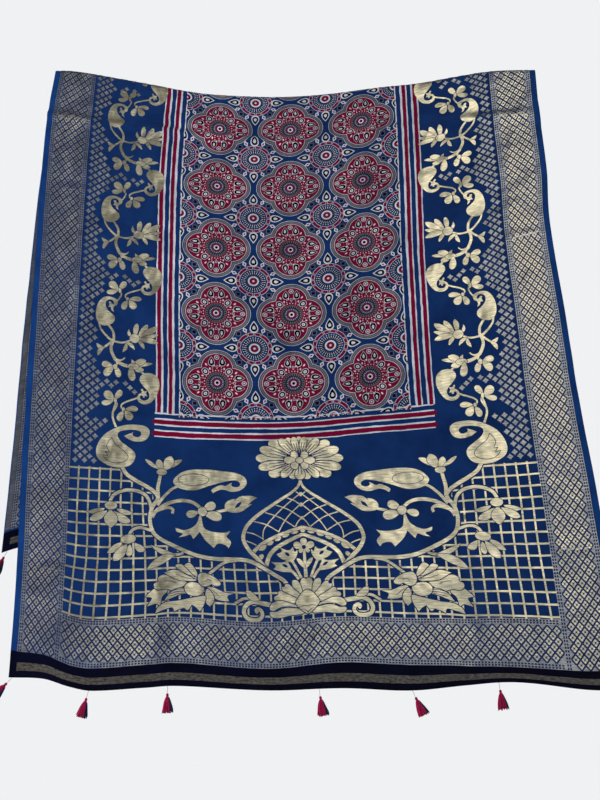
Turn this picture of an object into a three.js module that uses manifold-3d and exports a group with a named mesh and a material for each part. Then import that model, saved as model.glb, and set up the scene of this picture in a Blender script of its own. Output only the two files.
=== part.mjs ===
// An ajrakh-printed dupatta folded over a thin line: one long cloth whose front fall is the longer,
// whose back fall is the shorter, and small yarn tassels that hang on threads from both hems.
// Millimetres, +Z up, +X across the cloth and -Y towards its front. The origin is the crest of the
// fold, at its middle.
import * as THREE from 'three';
import { mergeVertices } from 'three/addons/utils/BufferGeometryUtils.js';
import Module from 'manifold-3d';

const wasm = await Module();
wasm.setup();

// ---- the cloth as it is cut ----
const WIDTH = 1065;
const FRONT_LENGTH = 1275; // along the warp, from the crest's middle to the front hem
const BACK_LENGTH = 1075; // and to the back hem
const THICKNESS = 1.5;
const HALF = WIDTH / 2;

// ---- how it hangs ----
const FOLD_RADIUS = 11; // the cloth's middle layer over the line
const QUARTER = (Math.PI / 2) * FOLD_RADIUS; // cloth from the crest to where a fall starts
const CENTRE = 3.6; // the cloth's middle lies this far right of the crest's
const LEAN = 0.0129; // the falls drift this much to the right for each mm down
const LEAN_LEVEL = 775; // the height, along the warp, at which that drift is nil
const SLOPE = 0.0259; // the wefts drop this much for each mm to the right
const CREST_LIFT = 139; // the selvedges ride this much above the middle at the crest
const HEM_LIFT = -18; // and at the front hem
const HEM_BAND = 42; // the dark woven band along each hem
const HEM_EASE = 400; // the hem's waves start this far above it
const FOLD_EASE = 90; // folds and creases start this far below the line
const BACK_STAND = 24; // the back fall stands this much further back low down
const BACK_STAND_AT = 520; // and reaches that this far below the line
const CREASE_DROP = 111; // a pressed crease runs across the front, this far below the line
const CREASE_DEPTH = 3.2;
const CREASE_WIDTH = 11;

// how much higher the sagging line holds the crest than at its middle
const CREST = [
  { x: -545, rise: 107 },
  { x: -487, rise: 101 },
  { x: -359, rise: 67 },
  { x: -200, rise: 22 },
  { x: -78, rise: 5 },
  { x: 0, rise: 0 },
  { x: 92, rise: 3 },
  { x: 198, rise: 14 },
  { x: 286, rise: 20 },
  { x: 353, rise: 31 },
  { x: 442, rise: 43 },
  { x: 545, rise: 41 },
];

// how far each selvedge of the front fall is from its straight line, to the right positive
const FRONT_SELVEDGES = [
  { v: 17, left: 10, right: 17 },
  { v: 180, left: -3, right: 8 },
  { v: 320, left: -5, right: 5 },
  { v: 430, left: -4, right: -5 },
  { v: 640, left: 0, right: -2 },
  { v: 775, left: 3, right: -1 },
  { v: 940, left: 7, right: 6 },
  { v: 1060, left: 10, right: 9 },
  { v: 1275, left: 7, right: 11 },
];

// how far the back fall's selvedges slide from where they leave the line
const BACK_SELVEDGES = [
  { drop: 0, left: 0, right: 0 },
  { drop: 100, left: -10, right: 4 },
  { drop: 200, left: -18, right: -2 },
  { drop: 360, left: -26, right: -10 },
  { drop: 600, left: -29, right: -18 },
  { drop: 860, left: -27, right: -20 },
  { drop: 1150, left: -29, right: -22 },
];

// how much the front hem waves up, at the top of its dark band and at its edge
const FRONT_HEM = [
  { u: -532, band: 38, hem: 38 },
  { u: -464, band: 26, hem: 30 },
  { u: -415, band: 5, hem: 13 },
  { u: -370, band: -3, hem: 3 },
  { u: -235, band: 5, hem: 8 },
  { u: -60, band: -8, hem: -3 },
  { u: 65, band: 3, hem: 1 },
  { u: 190, band: 1, hem: 1 },
  { u: 345, band: 2, hem: 21 },
  { u: 460, band: -2, hem: 13 },
  { u: 532, band: 5, hem: 18 },
];

// soft folds: the middle of each, its half sizes across and along, and how far it stands forward
const FRONT_FOLDS = [
  { u: -272, v: 1290, across: 24, along: 150, out: -9 },
  { u: 285, v: 1200, across: 26, along: 105, out: -9 },
  { u: -535, v: 1290, across: 75, along: 210, out: -20 },
  { u: 350, v: 1300, across: 60, along: 60, out: -13 },
  { u: 450, v: 1275, across: 55, along: 170, out: 9 },
  { u: -385, v: 1275, across: 60, along: 200, out: 9 },
  { u: -150, v: 1270, across: 75, along: 210, out: -5 },
  { u: 25, v: 1230, across: 95, along: 240, out: 8 },
  { u: 150, v: 1290, across: 55, along: 170, out: -5 },
  { u: -400, v: 740, across: 105, along: 330, out: 6 },
  { u: -160, v: 430, across: 150, along: 330, out: 5 },
  { u: 150, v: 590, across: 165, along: 360, out: -5 },
  { u: 405, v: 620, across: 100, along: 300, out: 6 },
];

const BACK_FOLDS = [
  { u: -430, v: -700, across: 60, along: 420, out: 9 },
  { u: -310, v: -900, across: 55, along: 380, out: -8 },
  { u: -150, v: -640, across: 85, along: 380, out: 7 },
  { u: 10, v: -960, across: 60, along: 330, out: -9 },
  { u: 160, v: -760, across: 75, along: 400, out: 8 },
  { u: 330, v: -980, across: 60, along: 360, out: -8 },
  { u: 460, v: -720, across: 65, along: 420, out: 9 },
];

// ---- the tassels ----
const FRONT_TASSELS = [
  { u: -526, lean: -42 },
  { u: -377, lean: -12 },
  { u: -241, lean: 2 },
  { u: 21, lean: 9 },
  { u: 179, lean: 24 },
  { u: 325, lean: 6 },
  { u: 520, lean: 10 },
];
const BACK_TASSELS = [
  { u: -522, lean: -24 },
  { u: -373, lean: 4 },
  { u: -224, lean: -6 },
  { u: -75, lean: 8 },
  { u: 75, lean: -3 },
  { u: 224, lean: 7 },
  { u: 373, lean: -8 },
  { u: 522, lean: 12 },
];
const CLEARANCE = 0.3;
const THREAD_LENGTH = 12;
const THREAD_WIDTH = 1.3;
const HEAD_LENGTH = 8;
const SKIRT_LENGTH = 25;
const STRAND_SIDES = 3;
const STRAND_ROOT = 1.1; // a strand's width at its root
const STRAND_TIP = 4.6; // and at its tip, where its yarns spread
const STRAND_RINGS = [
  { strands: 8, root: 2.2, tip: 9.5 },
  { strands: 2, root: 0.9, tip: 3.6 },
];
const SKIRT_DEPTH = 0.6; // the skirt is flatter from front to back than across

// the knot, the bound neck and the shoulder of a tassel's head, from the top down
const HEAD = [
  { down: 0, radius: 0 },
  { down: 0.6, radius: 1.5 },
  { down: 3, radius: 2.6 },
  { down: 5.2, radius: 2.1 },
  { down: HEAD_LENGTH, radius: 3.2 },
  { down: HEAD_LENGTH + 2, radius: 0 },
];
const HEAD_SIDES = 6;

// ---- the mesh steps ----
const COLUMNS = 40;
const ARC_STEPS = 8;
const CREASE_ROWS = [0, 35, 75, 97, CREASE_DROP, 125, 160]; // distances below the line
const FRONT_STEPS = 16; // even steps from the last of those to the hem's band
const BACK_STEPS = 14;

const COLOURS = {
  cloth: 0x1c4f8c,
  tassel: 0x7a0f3f,
};

function lerp(a, b, t) {
  return a + (b - a) * t;
}

function ease(t) {
  const held = Math.min(Math.max(t, 0), 1);
  return held * held * (3 - 2 * held);
}

// a smooth curve through one column of a table, level past its ends
function follow(table, along, column, at) {
  const last = table.length - 1;
  if (at <= table[0][along]) return table[0][column];
  if (at >= table[last][along]) return table[last][column];
  let k = 0;
  while (table[k + 1][along] < at) k += 1;
  const tangent = (i) => {
    const before = table[Math.max(i - 1, 0)];
    const after = table[Math.min(i + 1, last)];
    return (after[column] - before[column]) / (after[along] - before[along]);
  };
  const span = table[k + 1][along] - table[k][along];
  const t = (at - table[k][along]) / span;
  const rise = span * (t * (1 - t) ** 2 * tangent(k) - t * t * (1 - t) * tangent(k + 1));
  return lerp(table[k][column], table[k + 1][column], ease(t)) + rise;
}

// how far the soft folds in a table stand out at a place on the cloth
function foldsAt(folds, u, v) {
  let out = 0;
  for (const fold of folds) {
    const across = (u - fold.u) / fold.across;
    const along = (v - fold.v) / fold.along;
    out += fold.out * Math.exp(-across * across - along * along);
  }
  return out;
}

// ---- the front fall: u runs across the cloth, v along its warp from the crest ----
function frontAcross(u, v) {
  const side = u < 0 ? 'left' : 'right';
  const outer = Math.abs(u / HALF) ** 3;
  return CENTRE + u + LEAN * (v - LEAN_LEVEL) + outer * follow(FRONT_SELVEDGES, 'v', side, v);
}

function hemWave(u, v) {
  const bandTop = FRONT_LENGTH - HEM_BAND;
  const low = (v - bandTop) / HEM_BAND;
  const band = follow(FRONT_HEM, 'u', 'band', u);
  if (low <= 0) return band * ease((v - FRONT_LENGTH + HEM_EASE) / (HEM_EASE - HEM_BAND));
  return lerp(band, follow(FRONT_HEM, 'u', 'hem', u), low);
}

function frontHeight(u, v) {
  const x = frontAcross(u, v);
  const lift = (x / HALF) ** 2 * lerp(CREST_LIFT, HEM_LIFT, v / FRONT_LENGTH);
  return QUARTER - FOLD_RADIUS - v - SLOPE * x + lift + hemWave(u, v);
}

// the place along the warp where the front fall leaves the line
function leaveLine(u) {
  let v = QUARTER;
  for (let pass = 0; pass < 8; pass += 1) {
    const rise = follow(CREST, 'x', 'rise', frontAcross(u, v));
    v += frontHeight(u, v) - rise + FOLD_RADIUS;
  }
  return v;
}

function frontPoint(u, v) {
  const start = leaveLine(u);
  const share = (v - start) / (FRONT_LENGTH - start);
  const drop = share * (FRONT_LENGTH - QUARTER);
  const crease = CREASE_DEPTH * Math.exp(-(((drop - CREASE_DROP) / CREASE_WIDTH) ** 2));
  const out = (foldsAt(FRONT_FOLDS, u, v) + crease) * ease(drop / FOLD_EASE);
  return new THREE.Vector3(frontAcross(u, v), -FOLD_RADIUS - out, frontHeight(u, v));
}

// ---- the back fall: drop is the distance below the line ----
function backPoint(u, drop) {
  const start = leaveLine(u);
  const v = start - 2 * QUARTER - drop;
  const left = follow(BACK_SELVEDGES, 'drop', 'left', drop);
  const right = follow(BACK_SELVEDGES, 'drop', 'right', drop);
  const stand = BACK_STAND * ease(drop / BACK_STAND_AT);
  const out = foldsAt(BACK_FOLDS, u, v) * ease(drop / FOLD_EASE);
  return new THREE.Vector3(
    frontAcross(u, start) + lerp(left, right, u / WIDTH + 0.5),
    FOLD_RADIUS + stand + out,
    frontHeight(u, start) - drop
  );
}

// ---- over the line: turn is 0 at the front and 1 at the back ----
function arcPoint(u, turn) {
  const start = leaveLine(u);
  const angle = Math.PI * turn;
  const foot = frontPoint(u, start);
  foot.y = -FOLD_RADIUS * Math.cos(angle);
  foot.z += FOLD_RADIUS * Math.sin(angle);
  return foot;
}

// the middle layer of the cloth in one column, from the front hem over the line to the back hem
function column(u) {
  const start = leaveLine(u);
  const fall = FRONT_LENGTH - QUARTER;
  const lastCrease = CREASE_ROWS[CREASE_ROWS.length - 1];
  const drops = [...CREASE_ROWS];
  for (let k = 1; k <= FRONT_STEPS; k += 1) {
    drops.push(lerp(lastCrease, fall - HEM_BAND, k / FRONT_STEPS));
  }
  drops.push(fall);
  const front = drops.map((drop) => frontPoint(u, lerp(start, FRONT_LENGTH, drop / fall)));
  const points = front.reverse();
  for (let k = 1; k < ARC_STEPS; k += 1) points.push(arcPoint(u, k / ARC_STEPS));
  const backFall = BACK_LENGTH + start - 2 * QUARTER;
  for (let k = 0; k <= BACK_STEPS; k += 1) points.push(backPoint(u, (backFall * k) / BACK_STEPS));
  return points;
}

// both faces of a thin sheet, half the thickness to each side of its middle layer
function sheetFaces(columns, thickness) {
  const outer = [];
  const inner = [];
  columns.forEach((points, i) => {
    const left = columns[Math.max(i - 1, 0)];
    const right = columns[Math.min(i + 1, columns.length - 1)];
    points.forEach((point, j) => {
      const down = points[Math.max(j - 1, 0)];
      const up = points[Math.min(j + 1, points.length - 1)];
      const across = right[j].clone().sub(left[j]);
      const normal = across.cross(up.clone().sub(down)).setLength(thickness / 2);
      outer.push(point.clone().add(normal));
      inner.push(point.clone().sub(normal));
    });
  });
  return { outer, inner };
}

// a closed sheet from its two faces, joined around the rim
function sheetGeometry(faces, width, height) {
  const count = faces.outer.length;
  const at = (i, j) => i * height + j;
  const indices = [];
  const quad = (a, b, c, d) => indices.push(a, b, c, a, c, d);
  for (let i = 0; i < width - 1; i += 1) {
    for (let j = 0; j < height - 1; j += 1) {
      const corners = [at(i, j), at(i + 1, j), at(i + 1, j + 1), at(i, j + 1)];
      quad(...corners);
      quad(...corners.reverse().map((k) => k + count));
    }
  }
  const rim = [];
  for (let i = 0; i < width - 1; i += 1) rim.push(at(i, 0));
  for (let j = 0; j < height - 1; j += 1) rim.push(at(width - 1, j));
  for (let i = width - 1; i > 0; i -= 1) rim.push(at(i, height - 1));
  for (let j = height - 1; j > 0; j -= 1) rim.push(at(0, j));
  rim.forEach((a, k) => {
    const b = rim[(k + 1) % rim.length];
    quad(b, a, a + count, b + count);
  });
  const points = [...faces.outer, ...faces.inner];
  const geometry = new THREE.BufferGeometry();
  const positions = new Float32Array(points.flatMap((point) => point.toArray()));
  geometry.setAttribute('position', new THREE.BufferAttribute(positions, 3));
  geometry.setIndex(indices);
  geometry.computeVertexNormals();
  return geometry;
}

// a closed solid lofted through rings of points, each with as many points as the others
function loft(rings) {
  const sides = rings[0].length;
  const indices = [];
  for (let r = 0; r < rings.length - 1; r += 1) {
    for (let s = 0; s < sides; s += 1) {
      const a = r * sides + s;
      const b = r * sides + ((s + 1) % sides);
      indices.push(a, b, b + sides, a, b + sides, a + sides);
    }
  }
  const last = (rings.length - 1) * sides;
  for (let s = 1; s < sides - 1; s += 1) {
    indices.push(0, s + 1, s);
    indices.push(last, last + s, last + s + 1);
  }
  const geometry = new THREE.BufferGeometry();
  const positions = new Float32Array(rings.flat().flatMap((point) => point.toArray()));
  geometry.setAttribute('position', new THREE.BufferAttribute(positions, 3));
  geometry.setIndex(indices);
  return geometry;
}

// a level ring of points around a centre, going round so that a loft downwards faces out
function ring(x, y, z, radius, sides, turn = 0) {
  return Array.from({ length: sides }, (_, s) => {
    const angle = turn - (2 * Math.PI * s) / sides;
    return new THREE.Vector3(x + radius * Math.cos(angle), y + radius * Math.sin(angle), z);
  });
}

function toManifold(geometry) {
  const bare = geometry.clone();
  bare.deleteAttribute('normal');
  bare.deleteAttribute('uv');
  const merged = mergeVertices(bare);
  return new wasm.Manifold(new wasm.Mesh({
    numProp: 3,
    vertProperties: new Float32Array(merged.attributes.position.array),
    triVerts: new Uint32Array(merged.index.array),
  }));
}

function fromManifold(solid) {
  const mesh = solid.getMesh();
  const geometry = new THREE.BufferGeometry();
  geometry.setAttribute('position', new THREE.BufferAttribute(new Float32Array(mesh.vertProperties), 3));
  geometry.setIndex([...mesh.triVerts]);
  geometry.computeVertexNormals();
  return geometry;
}

// one strand of the skirt: it leaves the head's shoulder and curves down to its spread tip
function strandGeometry(angle, row, k) {
  const reach = (radius, depth) => [radius * Math.cos(angle), radius * Math.sin(angle) * depth];
  const top = -THREAD_LENGTH - HEAD_LENGTH;
  const uneven = 1.2 * Math.sin(5 * k);
  const stations = [
    { reach: reach(row.root, 1), z: top, width: STRAND_ROOT },
    { reach: reach(row.tip * 0.62, 0.72), z: top - 0.42 * SKIRT_LENGTH, width: 0.7 * STRAND_TIP },
    { reach: reach(row.tip, SKIRT_DEPTH), z: top - SKIRT_LENGTH + uneven, width: STRAND_TIP },
  ];
  return loft(stations.map((station) => (
    ring(...station.reach, station.z, station.width / Math.sqrt(3), STRAND_SIDES, angle)
  )));
}

// a tassel that hangs from the origin: its thread, its bound head and the strands of its skirt
function tasselGeometry() {
  const thread = loft([
    ring(0, 0, 0, THREAD_WIDTH / 2, 4),
    ring(0, 0, -THREAD_LENGTH - 1.5, THREAD_WIDTH / 2, 4),
  ]);
  const profile = HEAD.map((at) => new THREE.Vector2(at.radius, -at.down)).reverse();
  const head = new THREE.LatheGeometry(profile, HEAD_SIDES);
  head.rotateX(Math.PI / 2);
  head.translate(0, 0, -THREAD_LENGTH);
  let solid = toManifold(head).add(toManifold(thread));
  let k = 0;
  for (const row of STRAND_RINGS) {
    for (let s = 0; s < row.strands; s += 1) {
      const angle = (2 * Math.PI * (s + 0.5)) / row.strands;
      solid = solid.add(toManifold(strandGeometry(angle, row, k)));
      k += 1;
    }
  }
  return fromManifold(solid);
}

function material(colour, roughness) {
  return new THREE.MeshStandardMaterial({ color: colour, roughness, metalness: 0 });
}

const root = new THREE.Group();

// ---- the cloth ----
const columns = Array.from({ length: COLUMNS + 1 }, (_, i) => column((i / COLUMNS - 0.5) * WIDTH));
const faces = sheetFaces(columns, THICKNESS);
const rows = columns[0].length;
const cloth = new THREE.Mesh(sheetGeometry(faces, COLUMNS + 1, rows), material(COLOURS.cloth, 0.8));
cloth.name = 'cloth';
root.add(cloth);

// the lowest point of a hem at a place across it, on the mesh itself
function hemPoint(u, row) {
  const place = (u / WIDTH + 0.5) * COLUMNS;
  const i = Math.min(Math.floor(place), COLUMNS - 1);
  const between = (side) => (
    side[i * rows + row].clone().lerp(side[(i + 1) * rows + row], place - i)
  );
  const outer = between(faces.outer);
  const inner = between(faces.inner);
  const lowest = Math.min(outer.z, inner.z);
  return outer.lerp(inner, 0.5).setZ(lowest);
}

const tasselShape = tasselGeometry();

function hangTassels(table, row, side) {
  table.forEach((place, k) => {
    const tassel = new THREE.Mesh(tasselShape, material(COLOURS.tassel, 0.7));
    tassel.name = `${side}_tassel_${k + 1}`;
    tassel.position.copy(hemPoint(place.u, row));
    const lean = THREE.MathUtils.degToRad(place.lean);
    tassel.position.z -= CLEARANCE + THREAD_WIDTH * Math.abs(Math.sin(lean)) / 2;
    tassel.rotation.y = -lean;
    root.add(tassel);
  });
}

hangTassels(FRONT_TASSELS, 0, 'front');
hangTassels(BACK_TASSELS, rows - 1, 'back');

export default root;
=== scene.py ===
import math

import bpy
import numpy as np
from mathutils import Matrix, Vector
from mathutils.geometry import delaunay_2d_cdt


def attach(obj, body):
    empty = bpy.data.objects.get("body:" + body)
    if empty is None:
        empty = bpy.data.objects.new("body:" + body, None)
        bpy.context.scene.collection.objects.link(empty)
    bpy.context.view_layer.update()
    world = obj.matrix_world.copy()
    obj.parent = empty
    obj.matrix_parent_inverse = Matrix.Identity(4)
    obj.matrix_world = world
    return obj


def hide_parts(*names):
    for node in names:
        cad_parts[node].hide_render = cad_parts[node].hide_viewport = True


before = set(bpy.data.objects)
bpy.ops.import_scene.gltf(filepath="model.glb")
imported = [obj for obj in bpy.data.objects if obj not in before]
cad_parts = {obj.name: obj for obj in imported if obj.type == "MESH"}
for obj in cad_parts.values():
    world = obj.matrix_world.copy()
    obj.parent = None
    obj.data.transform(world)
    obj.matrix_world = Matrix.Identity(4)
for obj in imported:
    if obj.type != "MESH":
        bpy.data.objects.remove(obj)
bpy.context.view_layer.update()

# An ajrakh-printed dupatta folded over a thin line. All lengths below are millimetres; meshes are
# written in metres. On the cloth, u runs across it from its middle, to the right positive, and v
# along its warp from the crest of the fold, down the front positive and down the back negative.
METRE = 0.001

# ---- the cloth as it is cut and as it hangs, the same as the part's source ----
WIDTH = 1065
FRONT_LENGTH = 1275
BACK_LENGTH = 1075
HALF = WIDTH / 2
FOLD_RADIUS = 11
QUARTER = math.pi / 2 * FOLD_RADIUS  # the warp from the crest to either side of the line
CENTRE = 3.6  # x of the middle where the lean is nothing
LEAN = 0.0129  # the fall's drift to the right for its length
LEAN_LEVEL = 775
SLOPE = 0.0259  # the wefts' drop to the right for their length
CREST_LIFT = 139  # how far a weft's ends stand above its middle, at the crest and at the hem
HEM_LIFT = -18
HEM_BAND = 42  # the dark band's depth
HEM_EASE = 400  # how far above the hem its waves fade out
FOLD_EASE = 90  # over what length below the line the folds come in
BACK_STAND = 24  # how far the back fall stands off the line, and over what length
BACK_STAND_AT = 520
CREASE_DROP = 111  # the level crease below the line: how far down, how deep and how wide
CREASE_DEPTH = 3.2
CREASE_WIDTH = 11

CREST = np.array([  # x, rise
    (-545, 107), (-487, 101), (-359, 67), (-200, 22), (-78, 5), (0, 0),
    (92, 3), (198, 14), (286, 20), (353, 31), (442, 43), (545, 41),
], float)

FRONT_SELVEDGES = np.array([  # v, left, right
    (17, 10, 17), (180, -3, 8), (320, -5, 5), (430, -4, -5), (640, 0, -2),
    (775, 3, -1), (940, 7, 6), (1060, 10, 9), (1275, 7, 11),
], float)

BACK_SELVEDGES = np.array([  # drop, left, right
    (0, 0, 0), (100, -10, 4), (200, -18, -2), (360, -26, -10),
    (600, -29, -18), (860, -27, -20), (1150, -29, -22),
], float)

FRONT_HEM = np.array([  # u, band, hem
    (-532, 38, 38), (-464, 26, 30), (-415, 5, 13), (-370, -3, 3), (-235, 5, 8), (-60, -8, -3),
    (65, 3, 1), (190, 1, 1), (345, 2, 21), (460, -2, 13), (532, 5, 18),
], float)

FRONT_FOLDS = (  # u, v, across, along, out
    (-272, 1290, 24, 150, -9), (285, 1200, 26, 105, -9), (-535, 1290, 75, 210, -20),
    (350, 1300, 60, 60, -13), (450, 1275, 55, 170, 9), (-385, 1275, 60, 200, 9),
    (-150, 1270, 75, 210, -5), (25, 1230, 95, 240, 8), (150, 1290, 55, 170, -5),
    (-400, 740, 105, 330, 6), (-160, 430, 150, 330, 5), (150, 590, 165, 360, -5),
    (405, 620, 100, 300, 6),
)

BACK_FOLDS = (  # u, v, across, along, out
    (-430, -700, 60, 420, 9), (-310, -900, 55, 380, -8), (-150, -640, 85, 380, 7),
    (10, -960, 60, 330, -9), (160, -760, 75, 400, 8), (330, -980, 60, 360, -8),
    (460, -720, 65, 420, 9),
)

# ---- finer creases that the solid leaves out: the middle, the sizes along and across the crease,
# its turn in degrees from level, and how far it stands forward ----
CREASES = (  # u, v, long, wide, turn, out
    (-472, 302, 46, 9, -9, -1.4), (-455, 318, 40, 11, -14, 1.1),
    (474, 446, 50, 9, 6, 1.8), (470, 431, 44, 11, 3, -1.5),
    (-474, 745, 40, 9, -8, 1.3), (-410, 1076, 105, 9, -7, 1.5), (-415, 1060, 90, 12, -7, -1.1),
    (492, 1045, 48, 9, 2, 1.4), (-330, 1010, 60, 14, 40, -0.9),
    (-277, 1160, 85, 8, 88, 1.7), (-263, 1160, 85, 10, 88, -1.9),
    (300, 905, 80, 16, -28, 0.8), (60, 1120, 90, 14, 14, -0.7), (-60, 840, 150, 12, 2, 0.6),
    (-410, 144, 140, 8, -9, 2.3), (-410, 129, 140, 13, -9, -2.0),
    (-130, 129, 165, 7.5, 1, 3.4), (-130, 114, 165, 12, 1, -2.8),
    (240, 128, 110, 8, 3, 2.0), (240, 114, 110, 13, 3, -1.7),
    (440, 160, 95, 8, 14, 1.6), (440, 145, 95, 14, 14, -1.3),
)

# ---- slight unevenness everywhere: wave length, turn in degrees, start and height ----
RIPPLES = (
    (163, 12, 0.4, 0.55), (117, 101, 2.1, 0.4), (83, 58, 4.0, 0.28), (61, 147, 1.2, 0.2),
    (41, 84, 5.2, 0.12), (233, 171, 0.9, 0.8),
)
RIPPLE_SWAY, RIPPLE_SWAY_RATE = 1.3, 0.31  # each ripple speeds up and slows down by this much
TINY = 1e-9


def ease(t):
    """From 0 to 1, slow at both ends."""
    held = np.clip(t, 0, 1)
    return held * held * (3 - 2 * held)


def lerp(a, b, t):
    """The value this share of the way from a to b."""
    return a + (b - a) * t


def turned(x, y, turn):
    """x and y turned by so many degrees."""
    c, s = math.cos(math.radians(turn)), math.sin(math.radians(turn))
    return c * x - s * y, s * x + c * y


def unit(vectors):
    """Vectors brought to a length of 1."""
    return vectors / np.maximum(np.linalg.norm(vectors, axis=-1, keepdims=True), TINY)


def follow(table, column, at):
    """A smooth curve through one column of a table, level past its ends."""
    along, value = table[:, 0], table[:, column]
    last = len(along) - 1
    at = np.clip(at, along[0], along[-1])
    k = np.clip(np.searchsorted(along, at) - 1, 0, last - 1)
    rows = np.arange(last + 1)
    before, after = np.maximum(rows - 1, 0), np.minimum(rows + 1, last)
    tangent = (value[after] - value[before]) / (along[after] - along[before])
    span = along[k + 1] - along[k]
    t = (at - along[k]) / span
    rise = span * (t * (1 - t) ** 2 * tangent[k] - t * t * (1 - t) * tangent[k + 1])
    return lerp(value[k], value[k + 1], ease(t)) + rise


def folds_at(folds, u, v):
    """How far the soft folds in a table stand out at places on the cloth."""
    out = 0
    for fold_u, fold_v, across, along, height in folds:
        out = out + height * np.exp(-((u - fold_u) / across) ** 2 - ((v - fold_v) / along) ** 2)
    return out


def creases_at(u, v):
    """The finer creases and the slight unevenness, which both falls have."""
    out = 0
    for crease_u, crease_v, long, wide, turn, height in CREASES:
        along, across = turned(u - crease_u, v - crease_v, -turn)
        out = out + height * np.exp(-(along / long) ** 4 - (across / wide) ** 2)
    for length, turn, start, height in RIPPLES:
        a = math.radians(turn)
        wave = (u * math.cos(a) + v * math.sin(a)) * 2 * math.pi / length
        sway = RIPPLE_SWAY * np.sin(wave * RIPPLE_SWAY_RATE + start)
        out = out + height * np.sin(wave + start + sway)
    return out


def front_across(u, v):
    """x at a place on the front fall."""
    selvedge = np.where(u < 0, follow(FRONT_SELVEDGES, 1, v), follow(FRONT_SELVEDGES, 2, v))
    return CENTRE + u + LEAN * (v - LEAN_LEVEL) + np.abs(u / HALF) ** 3 * selvedge


def hem_wave(u, v):
    """How far the hem's unevenness lifts a place."""
    low = (v - FRONT_LENGTH + HEM_BAND) / HEM_BAND
    band = follow(FRONT_HEM, 1, u)
    above = band * ease((v - FRONT_LENGTH + HEM_EASE) / (HEM_EASE - HEM_BAND))
    return np.where(low <= 0, above, lerp(band, follow(FRONT_HEM, 2, u), low))


def front_height(u, v):
    """z at a place on the front fall."""
    x = front_across(u, v)
    lift = (x / HALF) ** 2 * lerp(CREST_LIFT, HEM_LIFT, v / FRONT_LENGTH)
    return QUARTER - FOLD_RADIUS - v - SLOPE * x + lift + hem_wave(u, v)


LEAVE_ROUNDS = 8  # each one comes closer to where the fall and the line meet


def leave_line(u):
    """The place along the warp where the front fall leaves the line."""
    v = np.full_like(u, QUARTER)
    for _ in range(LEAVE_ROUNDS):
        v = v + front_height(u, v) - follow(CREST, 1, front_across(u, v)) + FOLD_RADIUS
    return v


START_U = np.linspace(-HALF - 5, HALF + 5, 1500)
START_V = leave_line(START_U)


def place(u, v):
    """The cloth's middle layer at (u, v)."""
    start = np.interp(u, START_U, START_V)
    foot = np.maximum(v, start)
    drop = (foot - start) / (FRONT_LENGTH - start) * (FRONT_LENGTH - QUARTER)
    angle = np.pi * np.clip((start - v) / (2 * QUARTER), 0, 1)
    down = np.maximum(start - 2 * QUARTER - v, 0)
    fine = creases_at(u, v)
    crease = CREASE_DEPTH * np.exp(-(((drop - CREASE_DROP) / CREASE_WIDTH) ** 2))
    front_out = (folds_at(FRONT_FOLDS, u, v) + crease + fine) * ease(drop / FOLD_EASE)
    back_out = (folds_at(BACK_FOLDS, u, v) + fine) * ease(down / FOLD_EASE)
    stand = BACK_STAND * ease(down / BACK_STAND_AT)
    slide = lerp(follow(BACK_SELVEDGES, 1, down), follow(BACK_SELVEDGES, 2, down), u / WIDTH + 0.5)
    x = front_across(u, foot) + slide
    y = -FOLD_RADIUS * np.cos(angle) - front_out + stand + back_out
    z = front_height(u, foot) + FOLD_RADIUS * np.sin(angle) - down
    return np.stack([x, y, z], -1)


def outward(u, v, reach=1.5):
    """The direction out of the printed side at (u, v)."""
    across = place(u + reach, v) - place(u - reach, v)
    up = place(u, v - reach) - place(u, v + reach)
    return unit(np.cross(across, up))


def on_cloth(u, v, height):
    """A place this high over the cloth's middle layer, on its printed side."""
    return place(u, v) + outward(u, v) * height


# ---- materials ----
def tint(colour):
    """A colour of 0 to 255 a channel, as the shader's own linear values."""
    share = np.array(colour, float) / 255
    linear = np.where(share <= 0.04045, share / 12.92, ((share + 0.055) / 1.055) ** 2.4)
    return (*linear, 1)


def add_node(nodes, kind, **inputs):
    """A new shader node with some of its inputs set."""
    made = nodes.new("ShaderNode" + kind)
    for name, value in inputs.items():
        made.inputs[name].default_value = value
    return made


def weave_nodes(nodes, links, threads):
    """The cloth's coordinates, and the height of a plain weave with this many threads a metre."""
    place_on = add_node(nodes, "UVMap")
    place_on.uv_map = "Cloth"
    cross = add_node(nodes, "Math")
    cross.operation = "MULTIPLY"
    for k, direction in enumerate(("X", "Y")):
        wave = add_node(nodes, "TexWave", Scale=threads, Distortion=0.6, Detail=1)
        wave.bands_direction = direction
        links.new(place_on.outputs["UV"], wave.inputs["Vector"])
        links.new(wave.outputs["Fac"], cross.inputs[k])
    return place_on, cross


STREAK_STRETCH = 14  # how many times longer than wide a full streak is


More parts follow.
